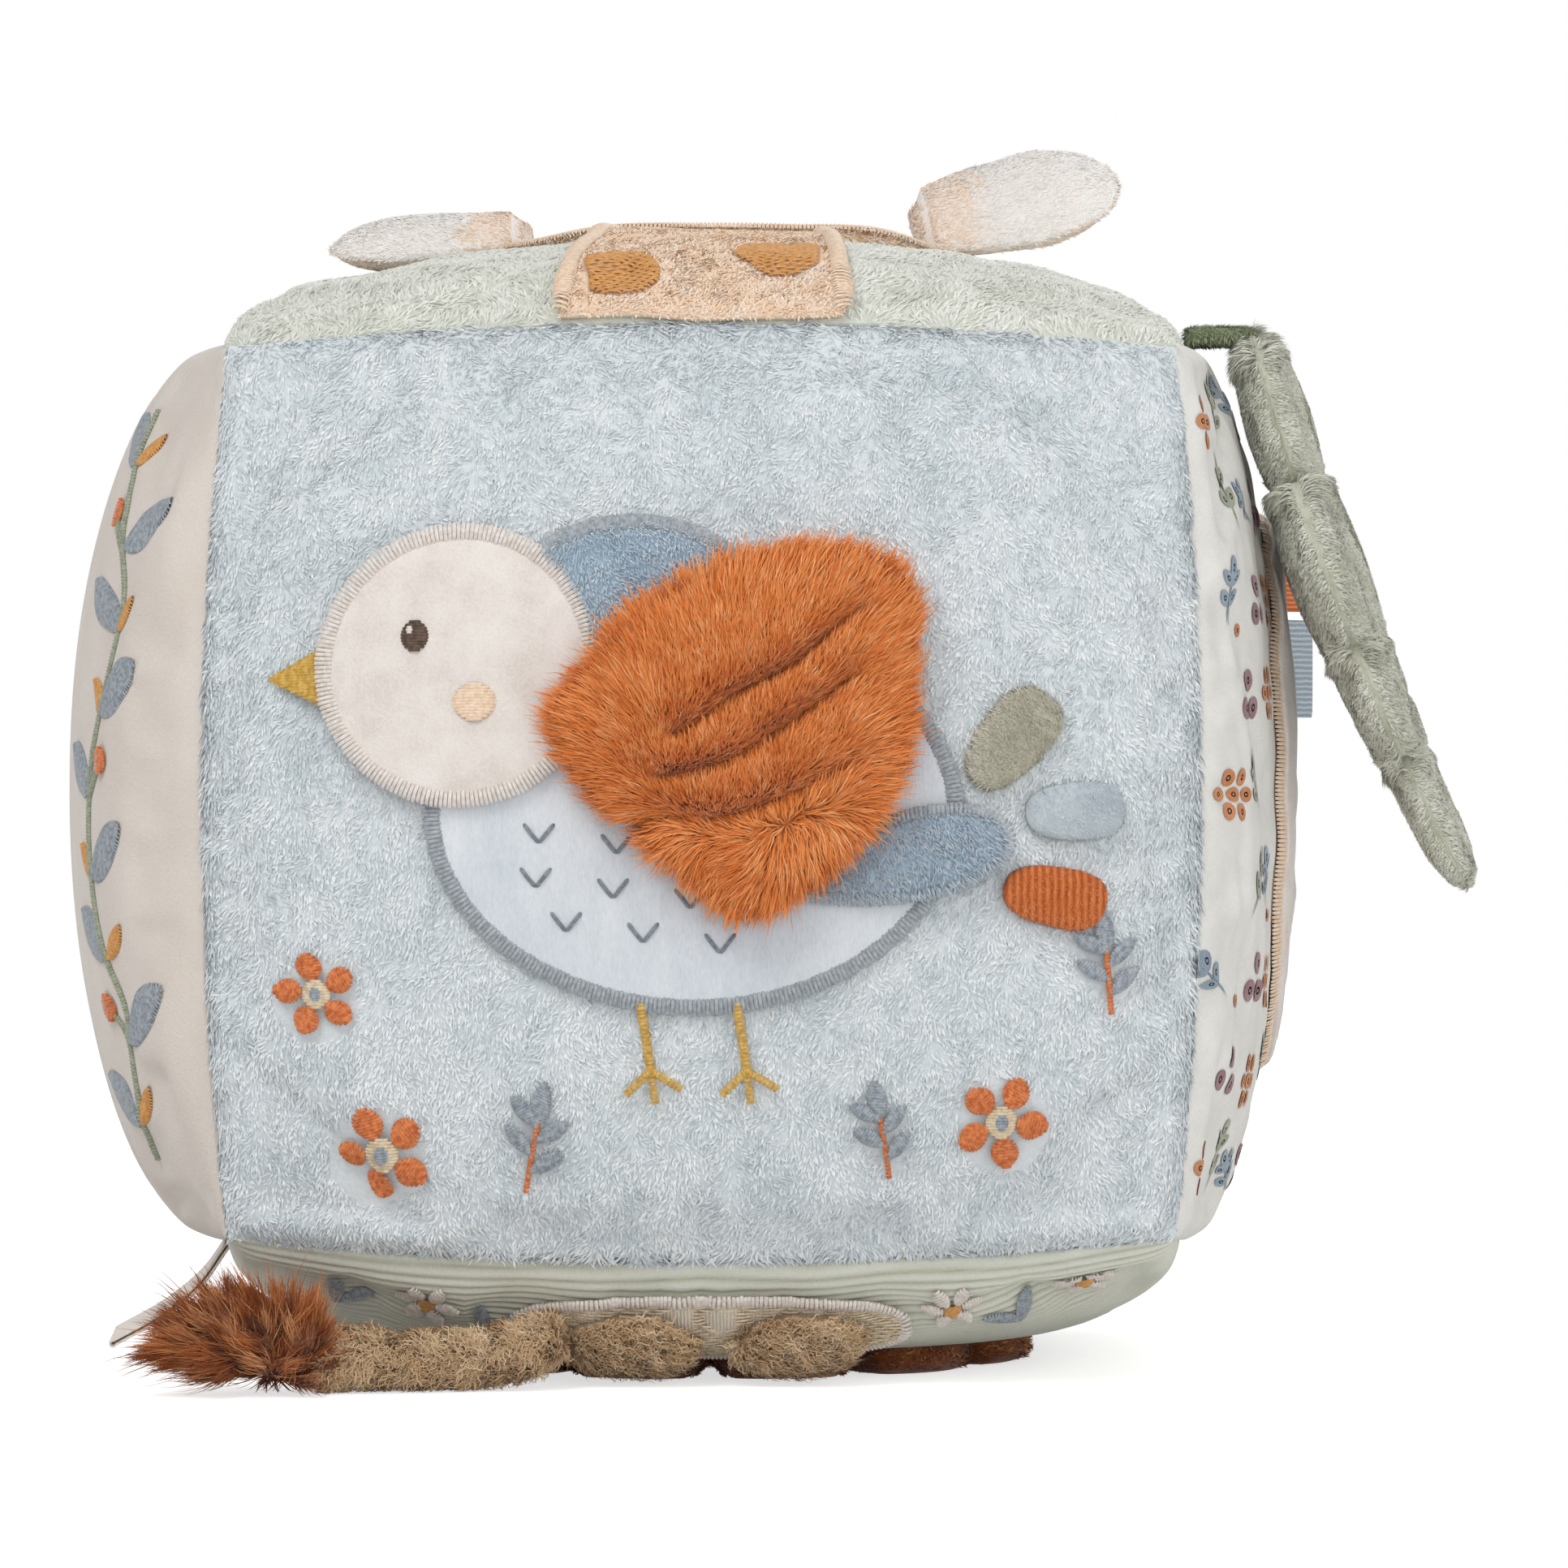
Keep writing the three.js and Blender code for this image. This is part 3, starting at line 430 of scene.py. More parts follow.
def spots_on(piece, per_mm2, keep=None):
    """Random spots on a piece with their smooth normals, about per_mm2 of them for each square millimetre."""
    mesh = piece.data
    mesh.calc_loop_triangles()
    triangles = np.empty(len(mesh.loop_triangles) * 3, np.int32)
    mesh.loop_triangles.foreach_get("vertices", triangles)
    points, normals = np.empty(len(mesh.vertices) * 3), np.empty(len(mesh.vertices) * 3)
    mesh.vertices.foreach_get("co", points)
    mesh.vertex_normals.foreach_get("vector", normals)
    corners = points.reshape(-1, 3)[triangles.reshape(-1, 3)] / MM
    facing = normals.reshape(-1, 3)[triangles.reshape(-1, 3)]
    area = np.linalg.norm(np.cross(corners[:, 1] - corners[:, 0], corners[:, 2] - corners[:, 0]), axis=1) / 2
    count = int(area.sum() * per_mm2)
    chosen = chance.choice(len(area), count, p=area / area.sum())
    first, second = chance.uniform(0, 1, (2, count))
    folded = first + second > 1
    first, second = np.where(folded, 1 - first, first), np.where(folded, 1 - second, second)
    weights = np.stack([1 - first - second, first, second], -1)[..., None]
    at, normal = (corners[chosen] * weights).sum(1), unit((facing[chosen] * weights).sum(1))
    if keep is not None:
        kept = keep(at, normal)
        at, normal = at[kept], normal[kept]
    return at, normal


# Fibres on each square millimetre, their length and width, and their lean from upright at root and tip
PILES = {
    "back_patch_pile": (9, 1.5, 0.22, (15, 62)),
    "tail_patch_pile": (9, 1.5, 0.22, (15, 62)),
    "front_pile": (5.3, 1.2, 0.34, (50, 83)),
    "wing_flap_fur": (14, 6.6, 0.27, (34, 80)),
    "wing_flap_underfur": (14, 6.6, 0.2, (34, 80)),
    "khaki_tag_pile": (14, 1.0, 0.2, (20, 70)),
    "pale_tag_nap": (8, 0.7, 0.12, (30, 80)),
    "orange_tag_nap": (10, 0.6, 0.12, (30, 80)),
    "neck_fleece": (19, 1.0, 0.3, (40, 82)),
    "crown_fleece": (11, 1.5, 0.3, (40, 82)),
    "top_pile": (4.4, 1.5, 0.38, (60, 86)),
    "ear_fleece": (15, 0.95, 0.28, (60, 87)),
    "leaf_strap_nap": (12, 1.0, 0.18, (25, 72)),
    "leaf_pile": (13, 1.7, 0.28, (40, 80)),
    "pad_curls": (9, 2.6, 0.42, (10, 95)),
    "petal_ring_nap": (3.0, 1.3, 0.3, (25, 80)),
    "petal_centre_curls": (3.2, 2.4, 0.45, (30, 95)),
    "tail_tube_curls": (17, 2.8, 0.36, (8, 95)),
}


def coat(name, base, flow, material, pile=None, keep=None, shade_size=5.0, shade_spread=0.2, stray=0.35,
         steps=2, wave=0.0, length_of=None, body=None):
    """Pile or fur on a piece. flow gives the way that it lies at each spot, which the cloth then flattens."""
    per_mm2, length, width, lean = PILES[pile or name]
    at, normal = spots_on(base, per_mm2, keep)
    way = flow(at, normal)
    way = way - normal * (way * normal).sum(-1, keepdims=True)
    turned = np.cross(normal, unit(way))
    angle = chance.normal(0, stray, (len(at), 1))
    lay = unit(unit(way) * np.cos(angle) + turned * np.sin(angle))
    shade = (0.5 + SHADE_DRIFT * smooth_noise(at, shade_size, SHADE_SEED)
             + shade_spread * chance.normal(0, 1, len(at)))
    lengths = length * np.clip(1 + LENGTH_SPREAD * chance.normal(0, 1, len(at)), 0.5, 1.6)
    if length_of is not None:
        lengths = lengths * length_of(at)
    mesh = pile_mesh(name, at - normal * ROOT_SINK, normal, lay, lengths, width, lean, shade, steps, wave)
    return add_piece(name, mesh, material, body or base["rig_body"])


def spline(before, here, after, later, steps):
    """Smooth spans from each point of here to the one after it, with steps points along each."""
    t = (np.arange(steps) / steps)[:, None]
    return np.concatenate([
        0.5 * (2 * h + (n - b) * t + (2 * b - 5 * h + 4 * n - m) * t ** 2 + (3 * h - b - 3 * n + m) * t ** 3)
        for b, h, n, m in zip(before, here, after, later)])


def smooth_route(points, steps):
    """A smooth open line through points, with steps spans between each two."""
    points = np.asarray(points, float)
    full = np.vstack([2 * points[0] - points[1], points, 2 * points[-1] - points[-2]])
    return np.vstack([spline(full[:-3], full[1:-2], full[2:-1], full[3:], steps), points[-1:]])


# Sewing thread

# How far along a stitch, how high (a share of its rise, or sunk in millimetres) and how narrow it is there
STITCH_ARCH = [(0, -ROOT_SINK, 0.7), (0.12, 0.6, 1), (0.5, 1, 1), (0.88, 0.6, 1), (1, -ROOT_SINK, 0.7)]
THREAD_WIDTH, THREAD_RISE, THREAD_ROUND = 0.55, 0.45, 0.8
EDGE_PITCH, LINE_PITCH, FILL_PITCH = 0.66, 0.54, 0.45   # from thread to thread
EDGE_RAGGED = 0.12
ROW_STAGGER, SHORTEST_STITCH = 0.38, 0.4
ROW_PROBES = 400


def stitch_mesh(name, starts, ends, normals, width, rise):
    """Threads that each arch over the cloth from a start to an end, as one mesh of half-round strands."""
    count = len(starts)
    along = ends - starts
    side = unit(np.cross(normals, along)) * np.broadcast_to(width, count)[:, None] / 2
    rings = []
    for share, height, narrow in STITCH_ARCH:
        lift = height * rise if height > 0 else height
        middle = starts + along * share + normals * np.broadcast_to(lift, count)[:, None]
        crest = normals * np.linalg.norm(side, axis=1, keepdims=True) * THREAD_ROUND
        rings += [middle - side * narrow, middle + crest, middle + side * narrow]
    points = np.stack(rings, 1)
    per = points.shape[1]
    first = np.arange(count)[:, None] * per
    quads = [first + np.array([3 * r + k, 3 * r + k + 1, 3 * r + k + 4, 3 * r + k + 3])
             for r in range(4) for k in range(2)]
    return make_mesh(name, points.reshape(-1, 3), np.concatenate(quads)[:, ::-1])


def paced(route, pitch, fewest, **ends):
    """Spots a pitch apart along a route, and at least the fewest."""
    lengths = np.concatenate([[0], np.cumsum(np.linalg.norm(np.diff(route, axis=0), axis=1))])
    spots = np.linspace(0, lengths[-1], max(fewest, int(lengths[-1] / pitch)), **ends)
    return np.stack([np.interp(spots, lengths, route[:, k]) for k in (0, 1)], -1)


class Sewing:
    """Collects stitches on one panel, each from one spot to another, and makes them one piece."""

    def __init__(self, panel, lift):
        self.panel, self.lift = panel, lift
        self.starts, self.ends = [], []

    def add(self, starts, ends):
        self.starts.append(np.atleast_2d(starts))
        self.ends.append(np.atleast_2d(ends))
        return self

    def edge(self, outline, width):
        """Satin stitches across a closed outline, as round a patch."""
        outline = np.asarray(outline, float)
        closed = np.vstack([outline, outline[:1]])
        at = paced(closed, EDGE_PITCH, 8, endpoint=False)
        ahead = unit(np.roll(at, -2, 0) - np.roll(at, 2, 0))
        out = np.stack([ahead[:, 1], -ahead[:, 0]], -1)
        ragged = chance.uniform(-EDGE_RAGGED, EDGE_RAGGED, (2, len(at), 1))
        return self.add(at + out * (-width / 2 + ragged[0]), at + out * (width / 2 + ragged[1]))

    def blade(self, base, tip, width, blunt=0.6, slant=0.25):
        """A leaf or petal filled with slanting threads; blunt is how round its ends are."""
        base, tip = np.array(base, float), np.array(tip, float)
        way = tip - base
        length = np.linalg.norm(way)
        way = way / length
        cross = np.array([-way[1], way[0]])
        share = (np.arange(int(length / FILL_PITCH)) + 0.5) / int(length / FILL_PITCH)
        half = width / 2 * np.sin(np.pi * share) ** blunt
        middle = base + way * length * share[:, None]
        lean = way * slant * half[:, None]
        return self.add(middle - cross * half[:, None] - lean, middle + cross * half[:, None] + lean)

    def disc(self, centre, radius_across, radius_up, pitch=FILL_PITCH):
        """A round or oval spot filled with level threads."""
        rows = max(3, int(2 * radius_up / pitch))
        height = (np.arange(rows) + 0.5) / rows * 2 - 1
        half = radius_across * np.sqrt(1 - height ** 2)
        return self.add(*(np.array(centre) + np.stack([reach, height * radius_up], -1) for reach in (-half, half)))

    def line(self, route, width):
        """A narrow satin line along a route of spots."""
        at = paced(np.asarray(route, float), LINE_PITCH, 3)
        ahead = unit(np.gradient(at, axis=0))
        out = np.stack([ahead[:, 1], -ahead[:, 0]], -1) * width / 2
        return self.add(at - out, at + out)

    def make(self, name, material, body, slot, width=THREAD_WIDTH, rise=THREAD_RISE):
        starts, ends = np.concatenate(self.starts), np.concatenate(self.ends)
        middle = (starts + ends) / 2
        panel = PANELS[self.panel]
        _, normals, _ = skin_frame(panel, middle[:, 0] / panel["half_side"], middle[:, 1] / panel["half_up"])
        lift = self.lift
        at = [on_panel(self.panel, *spots.T, lift(*spots.T) if callable(lift) else lift)
              for spots in (starts, ends)]
        return add_piece(name, stitch_mesh(name, *at, normals, width, rise), material, body)


def filled(sewing, outline, pitch, length):
    """Fills an outline with level rows of staggered stitches."""
    low, high = outline[:, 1].min(), outline[:, 1].max()
    for row, b in enumerate(np.arange(low + pitch, high, pitch)):
        a = np.linspace(outline[:, 0].min(), outline[:, 0].max(), ROW_PROBES)
        held = a[inside(outline, a, np.full(ROW_PROBES, b))]
        if len(held) < 2:
            continue
        breaks = np.arange(held[0] - length * ((row * ROW_STAGGER) % 1), held[-1], length)
        breaks = np.clip(np.append(breaks, held[-1]), held[0], held[-1])
        for start, end in zip(breaks[:-1], breaks[1:]):
            if end - start > SHORTEST_STITCH:
                sewing.add([start, b], [end, b])
    return sewing


# Materials

def shade_of(hex_colour):
    """An sRGB hex colour as the linear colour that Blender's sockets take."""
    parts = [int(hex_colour[i:i + 2], 16) / 255 for i in (1, 3, 5)]
    return [p / 12.92 if p <= 0.04045 else ((p + 0.055) / 1.055) ** 2.4 for p in parts] + [1.0]


own_materials = {}              # by the name that pieces take them by


def new_material(name):
    """The empty node tree of a new material."""
    made = own_materials[name] = bpy.data.materials.new(name)
    made.use_nodes = True
    made.node_tree.nodes.clear()
    return made.node_tree


def add_node(tree, kind, sockets=None, **settings):
    """Adds a node, sets its properties, and sets or links each named or numbered input socket."""
    made = tree.nodes.new(kind)
    for key, value in settings.items():
        setattr(made, key, value)
    for key, value in (sockets or {}).items():
        if isinstance(value, bpy.types.NodeSocket):
            tree.links.new(value, made.inputs[key])
        else:
            made.inputs[key].default_value = value
    return made


def ramped(tree, fac, stops):
    """A colour ramp along fac: each stop is a place and a hex colour or a grey from 0 to 1."""
    node = add_node(tree, "ShaderNodeValToRGB", {"Fac": fac})
    ramp = node.color_ramp
    while len(ramp.elements) < len(stops):
        ramp.elements.new(0.5)
    for element, (place, colour) in zip(ramp.elements, stops):
        element.position = place
        element.color = shade_of(colour) if isinstance(colour, str) else (colour, colour, colour, 1)
    return node.outputs["Color"]


def on_object(tree):
    return add_node(tree, "ShaderNodeTexCoord").outputs["Object"]


def on_map(tree, name):
    """The two coordinates of a map."""
    place = add_node(tree, "ShaderNodeUVMap", uv_map=name).outputs["UV"]
    return add_node(tree, "ShaderNodeSeparateXYZ", {"Vector": place})


def speckle(tree, place, size_mm, detail=2.0, roughness=0.5):
    """Cloudy noise whose lumps are size_mm across."""
    return add_node(tree, "ShaderNodeTexNoise", {
        "Vector": place, "Scale": 1 / (size_mm * MM), "Detail": detail, "Roughness": roughness}).outputs["Fac"]


def blended(tree, share, one, other):
    """One value with a share of another."""
    return add_node(tree, "ShaderNodeMix", {0: share, 2: one, 3: other}, data_type="FLOAT").outputs[0]


CLOTH_SHINE = {"Specular IOR Level": 0.25, "Sheen Roughness": 0.5, "Sheen Tint": (1, 1, 1, 1)}


def finish_cloth(tree, colour, height=None, depth=0.0002, roughness=0.9, sheen=0.25):
    """Closes a cloth material: a rough, softly shining surface, with its relief as bump."""
    sockets = {"Base Color": colour, "Roughness": roughness, "Sheen Weight": sheen, **CLOTH_SHINE}
    if height is not None:
        bump = add_node(tree, "ShaderNodeBump", {"Height": height, "Strength": 1.0, "Distance": depth})
        sockets["Normal"] = bump.outputs["Normal"]
    shader = add_node(tree, "ShaderNodeBsdfPrincipled", sockets)
    add_node(tree, "ShaderNodeOutputMaterial", {"Surface": shader.outputs["BSDF"]})


def velour_material(name, dark, mid, light, grain_mm=0.5, patch_mm=9.0, stretch=(1, 1, 1), depth=0.00016,
                    sheen=0.3):
    """Knitted velour: a fine upright pile, brushed in patches that catch the light differently."""
    tree = new_material(name)
    place = add_node(tree, "ShaderNodeMapping", {"Vector": on_object(tree), "Scale": stretch}).outputs["Vector"]
    grain = speckle(tree, place, grain_mm, 3.0, 0.65)
    shade = blended(tree, 0.45, speckle(tree, place, patch_mm), grain)
    finish_cloth(tree, ramped(tree, shade, [(0.33, dark), (0.5, mid), (0.67, light)]), grain, depth, sheen=sheen)


def fibre_material(name, shades, painted_root_shade, roughness=0.75, sheen=0.2, places=(0.1, 0.5, 0.9)):
    """Loose pile or fur: each tuft takes its shade from its own map, and darkens towards its root as painted shade
    for the depth of the pile.
    """
    tree = new_material(name)
    parts = on_map(tree, "OFBake")
    colour = ramped(tree, parts.outputs["X"], list(zip(places, shades.split())))
    # painted shade: each tuft's colour darkens towards its root, where the pile shades itself
    depth = ramped(tree, parts.outputs["Y"], [(0.0, painted_root_shade), (0.2, 1.0)])
    mixed = add_node(tree, "ShaderNodeMix", {0: 1.0, 6: colour, 7: depth}, data_type="RGBA",
                     blend_type="MULTIPLY")
    finish_cloth(tree, mixed.outputs[2], roughness=roughness, sheen=sheen)


def thread_material(name, dark, light):
    """Rayon embroidery thread: smooth twisted filament with a silky shine, a little uneven in the dye."""
    tree = new_material(name)
    dye = speckle(tree, on_object(tree), 0.7)
    finish_cloth(tree, ramped(tree, dye, [(0.35, dark), (0.65, light)]), roughness=0.45, sheen=0.15)


def ribbed_material(name, dark, mid, light, pitch_mm, way="Y", depth=0.00025, sheen=0.2, roughness=0.85):
    """Ribbed or woven cloth: bands of light and shade at a pitch along one axis, a little uneven."""
    tree = new_material(name)
    place = on_object(tree)
    ribs = add_node(tree, "ShaderNodeTexWave", {
        "Vector": place, "Scale": math.pi / 10 / (pitch_mm * MM), "Distortion": 1.2, "Detail": 1.0,
        "Detail Scale": 2.0}, bands_direction=way).outputs["Fac"]
    both = blended(tree, 0.35, ribs, speckle(tree, place, 0.4, 3.0))
    colour = ramped(tree, both, [(0.1, dark), (0.5, mid), (0.85, light)])
    finish_cloth(tree, colour, both, depth, roughness=roughness, sheen=sheen)


def corduroy_material(name, dark, mid, light):
    """Corduroy: dark valleys as painted shade and pale crowns as a painted highlight, by the height of its cords
    along the map named wale.
    """
    tree = new_material(name)
    place = on_object(tree)
    grain = speckle(tree, place, 0.5, 3.0)
    fine = blended(tree, 0.3, on_map(tree, "wale").outputs["X"], grain)
    both = blended(tree, 0.25, fine, speckle(tree, place, 11))
    finish_cloth(tree, ramped(tree, both, [(0.15, dark), (0.5, mid), (0.8, light)]), grain, 0.0001, sheen=0.2)


def plastic_material(name, colour, roughness):
    """Moulded plastic with a faint mottle."""
    tree = new_material(name)
    rough = add_node(tree, "ShaderNodeMapRange", {
        "Value": speckle(tree, on_object(tree), 3), "To Min": roughness - 0.04, "To Max": roughness + 0.04})
    shader = add_node(tree, "ShaderNodeBsdfPrincipled", {
        "Base Color": shade_of(colour), "Roughness": rough.outputs[0]})
    add_node(tree, "ShaderNodeOutputMaterial", {"Surface": shader.outputs["BSDF"]})


# Short pale blue plush: lying tufts with bright tips over a shaded ground
velour_material("blue_plush_ground", "#CDD6DA", "#DCE3E6", "#E8ECEE", 0.8, 14)
fibre_material("blue_plush", "#C6D1D6 #DCE4E8 #ECF1F3 #FCFDFE", 0.84, places=(0.05, 0.35, 0.6, 0.95))
# Sage plush, a touch longer, with a cream cast at its tips
velour_material("sage_plush_ground", "#C3C7B7", "#D2D5C8", "#DEE0D5", 0.8, 12)
fibre_material("sage_plush", "#D3D6C9 #E0E2D8 #EBECE4 #F8F8F3", 0.94, places=(0.1, 0.35, 0.6, 0.9))
# Brushed velours: close and almost smooth
velour_material("cream_velour", "#DACFC5", "#E0D6CC", "#E6DED5", 0.45, 14)
velour_material("pale_velour", "#CBD3DB", "#D9DFE5", "#E5E9EE", 0.45, 6, (1, 1, 0.35))
velour_material("head_velour", "#DCD2CA", "#E9E1DA", "#F1EBE5", 0.45, 6)
velour_material("blue_velour_ground", "#A3BBCD", "#B2C7D7", "#C0D2DF", 0.6, 8)
fibre_material("blue_velour", "#B7CBDA #CCDBE6 #E2EBF1", 0.86)
fibre_material("tail_velour", "#A8BAC9 #BFCDD9 #D9E1E8", 0.8)
# Crinkled double gauze with its small print, sewn to it as flat shapes
velour_material("printed_muslin", "#E2E0D9", "#ECEAE4", "#F4F3EF", 0.35, 7, depth=0.0001, sheen=0.1)
for name, *shades in (
    ("sage", "#9AA08C", "#ABB09D", "#BBBFAE"),
    ("slate", "#8595A3", "#97A6B3", "#A8B6C2"),
    ("plum", "#8D6A70", "#9F7C82", "#B09096"),
    ("rust", "#C07B50", "#CE8C62", "#DBA07A"),
):
    velour_material("print_" + name, *shades, 0.4, 4, depth=0.00005, sheen=0.1)
# Sage corduroy: pale crowns on its wales and darker valleys, a painted highlight and painted shade by the cords'
# height
corduroy_material("sage_corduroy", "#A9AD97", "#CFD0BF", "#E6E7DB")
# Long orange fur over its rust knitted ground, pale at the tips and rust where it parts, with painted shade that
# darkens each tuft towards its root
velour_material("orange_fur_ground", "#8F4515", "#B65F28", "#D0783A", 0.6, 6)
fibre_material("orange_fur", "#C8611C #E48039 #F39A54 #FDBF85", 0.6, places=(0.05, 0.3, 0.6, 0.95))
# Folded tags: olive velour, pale stitched cloth and fine orange corduroy
velour_material("khaki_velour_ground", "#B3AE99", "#C3BFAC", "#D0CDBC", 0.4, 4)
fibre_material("khaki_velour", "#BFBBA7 #D3CFBE #E8E6DA", 0.9)
velour_material("pale_tag_cloth", "#A8B4BC", "#BCC6CC", "#CDD5DA", 0.4, 4)
fibre_material("pale_tag_nap", "#B5C0C7 #C8D0D6 #DCE2E6", 0.8)
ribbed_material("orange_corduroy", "#A44D1E", "#C96C33", "#DE8650", 1.15, "X", 0.0002)
fibre_material("orange_nap", "#C4652C #D97B40 #EA9A66", 0.8)
# Peach fleece of the neck and crown patches, in soft curls
velour_material("peach_plush_ground", "#F2D3B0", "#F8DFC3", "#FDEAD6", 0.7, 6)
fibre_material("peach_plush", "#F6D7B4 #FDE3C8 #FFEEDC #FFF8EE", 0.96, places=(0.1, 0.4, 0.7, 0.95))
# Ear fleece, cream-pink on one side and peach on the other
velour_material("ear_plush_ground", "#FAF0E6", "#FDF6EF", "#FFFBF7", 0.5, 7, sheen=0.6)
fibre_material("ear_cream", "#FCF6F0 #FFFBF7 #FFFFFE", 1.0, 0.9, 0.6)
fibre_material("ear_peach", "#FADFC6 #FFECD9 #FFF7EE", 1.0, 0.9, 0.6)
# Leaf plush: grey-green, its pile stepped in rows
velour_material("leaf_plush_ground", "#A7A893", "#BDBEAB", "#CFCFBF", 0.6, 8)
fibre_material("leaf_plush", "#B3B3A0 #CACABA #DDDDD0 #F1F1E8", 0.8, places=(0.1, 0.35, 0.65, 0.95))
# Green velour of the strap, pale where its pile turns over the edge
velour_material("green_velour", "#5F6A45", "#7A8560", "#98A181", 0.35, 3)
fibre_material("green_nap", "#7A8560 #98A181 #BCC2A6", 0.75)
# Grosgrain ribbons: fine ribs across their length
ribbed_material("orange_ribbon", "#B8562A", "#D5723C", "#E8935F", 0.8, "Z", 0.0002, roughness=0.6)
ribbed_material("blue_ribbon", "#8B9CA8", "#AEBBC4", "#C9D2D8", 0.9, "Z", 0.0003, roughness=0.6)
# Cream cotton stitched solid
ribbed_material("cream_stitch", "#C7B9A6", "#DCD0BF", "#EDE4D8", 0.55, "X", 0.0002, roughness=0.6)
# Curly pile of the pads, the ring's middle and the tail
velour_material("curly_ground", "#8E7352", "#A48661", "#B79A76", 0.7, 4)
fibre_material("curly_pile", "#B6966D #CCAA81 #DCBF99 #F0DCC0", 0.8, places=(0.05, 0.35, 0.65, 0.95))
# Brown velour of the lobes: near black in its folds, rust where the pile catches the light
velour_material("brown_velour_ground", "#5A2B15", "#7E4321", "#A05E33", 0.4, 4)
fibre_material("brown_velour", "#7E431F #A96738 #D39A66", 0.6)
# Brown fur of the tail's tuft, in pointed locks
velour_material("brown_fur_ground", "#3F1F0F", "#5F3218", "#7A4424", 0.5, 4)
fibre_material("brown_fur", "#7C3F1B #A65A29 #CC8149 #EDB57F", 0.42, places=(0.05, 0.35, 0.65, 0.95))
# Woven satin of the blank seam tag
ribbed_material("satin", "#E2D7CA", "#EEE5DA", "#FAF4EC", 0.3, "Y", 0.00006, sheen=0.1, roughness=0.35)
# Polyester batting of the filling, in loose white lumps
velour_material("filling", "#DEDDD8", "#EDECE8", "#F8F8F6", 0.6, 10, depth=0.0005)
# Rattle shells and beads
plastic_material("rattle_plastic", "#DDE3E4", 0.35)
plastic_material("bead_plastic", "#E0A33C", 0.3)
# Threads
for name, dark, light in (
    ("grey", "#8F969C", "#B4BABF"),
    ("cream", "#D8CDC3", "#EFE8E1"),
    ("ochre", "#C98A45", "#E2A968"),
    ("mustard", "#B98F36", "#E0B862"),
    ("orange", "#B95F2E", "#E48A54"),
    ("slate", "#848C94", "#AEB5BC"),
    ("dash", "#6F777E", "#8F979D"),
    ("eye", "#453429", "#6B564A"),
    ("sage", "#8A917A", "#A9AF9A"),
    ("sand", "#CBB594", "#E9D9BC"),
    ("peach", "#E6C6A6", "#F5DFC9"),
):
    thread_material(name + "_thread", dark, light)


# Camera, stage and lights

CAMERA_PLACE = (12.6, -76.0 - 1100.0, 92.8)
FRAME_WIDTH = 239.4             # of the picture at the front seams, in millimetres
camera_data = bpy.data.cameras.new("camera")
camera = bpy.data.objects.new("camera", camera_data)
bpy.context.scene.collection.objects.link(camera)
bpy.context.scene.camera = camera
camera.location = [x * MM for x in CAMERA_PLACE]
camera.rotation_euler = (90 * DEGREE, 0, 0)
camera_data.sensor_width = 36
camera_data.lens = 36 * 1100.0 / FRAME_WIDTH
camera_data.clip_start, camera_data.clip_end = 0.05, 40
bpy.context.scene.view_settings.view_transform = "Standard"


def plain_white(name, strength):
    """A matt white that cameras and mirrors see as pure white."""
    tree = new_material(name)
    ray = add_node(tree, "ShaderNodeLightPath")
    seen = add_node(tree, "ShaderNodeMath", {
        0: ray.outputs["Is Camera Ray"], 1: ray.outputs["Is Glossy Ray"]}, operation="ADD", use_clamp=True)
    matt = add_node(tree, "ShaderNodeBsdfDiffuse", {"Color": (0.86, 0.86, 0.86, 1)})
    glow = add_node(tree, "ShaderNodeEmission", {"Color": (1, 1, 1, 1), "Strength": strength})
    lit = add_node(tree, "ShaderNodeAddShader", {0: matt.outputs[0], 1: glow.outputs[0]})
    both = add_node(tree, "ShaderNodeMixShader", {0: seen.outputs[0], 1: matt.outputs[0], 2: lit.outputs[0]})
    add_node(tree, "ShaderNodeOutputMaterial", {"Surface": both.outputs[0]})


floor_mesh = make_mesh("floor", np.array([(-6, -6, 0), (6, -6, 0), (6, 6, 0), (-6, 6, 0)]) * 1000.0,
                       [[0, 1, 2, 3]])
floor = bpy.data.objects.new("floor", floor_mesh)
bpy.context.scene.collection.objects.link(floor)
plain_white("floor_white", 0.65)
floor_mesh.materials.append(own_materials["floor_white"])

world = bpy.data.worlds.new("studio")
bpy.context.scene.world = world
world.use_nodes = True
world.node_tree.nodes.clear()
ray = add_node(world.node_tree, "ShaderNodeLightPath")
seen = add_node(world.node_tree, "ShaderNodeMath", {
    0: ray.outputs["Is Camera Ray"], 1: ray.outputs["Is Glossy Ray"]}, operation="MAXIMUM")
studio = add_node(world.node_tree, "ShaderNodeBackground", {"Color": (1, 1, 1, 1), "Strength": 0.4})
white = add_node(world.node_tree, "ShaderNodeBackground", {"Color": (1, 1, 1, 1), "Strength": 1.0})
mixed = add_node(world.node_tree, "ShaderNodeMixShader", {
    0: seen.outputs[0], 1: studio.outputs[0], 2: white.outputs[0]})
add_node(world.node_tree, "ShaderNodeOutputWorld", {"Surface": mixed.outputs[0]})


def soft_box(name, place, size, power):
    """A square studio lamp that faces the middle of the block."""
    light = bpy.data.lights.new(name, "AREA")
    light.size, light.energy = size, power
    lamp = bpy.data.objects.new(name, light)
    bpy.context.scene.collection.objects.link(lamp)
    lamp.location = place
    away = np.array(place) - np.array((0, 0, MIDDLE * MM))
    lamp.rotation_euler = (
        math.atan2(math.hypot(away[0], away[1]), away[2]), 0, math.atan2(away[0], -away[1]))


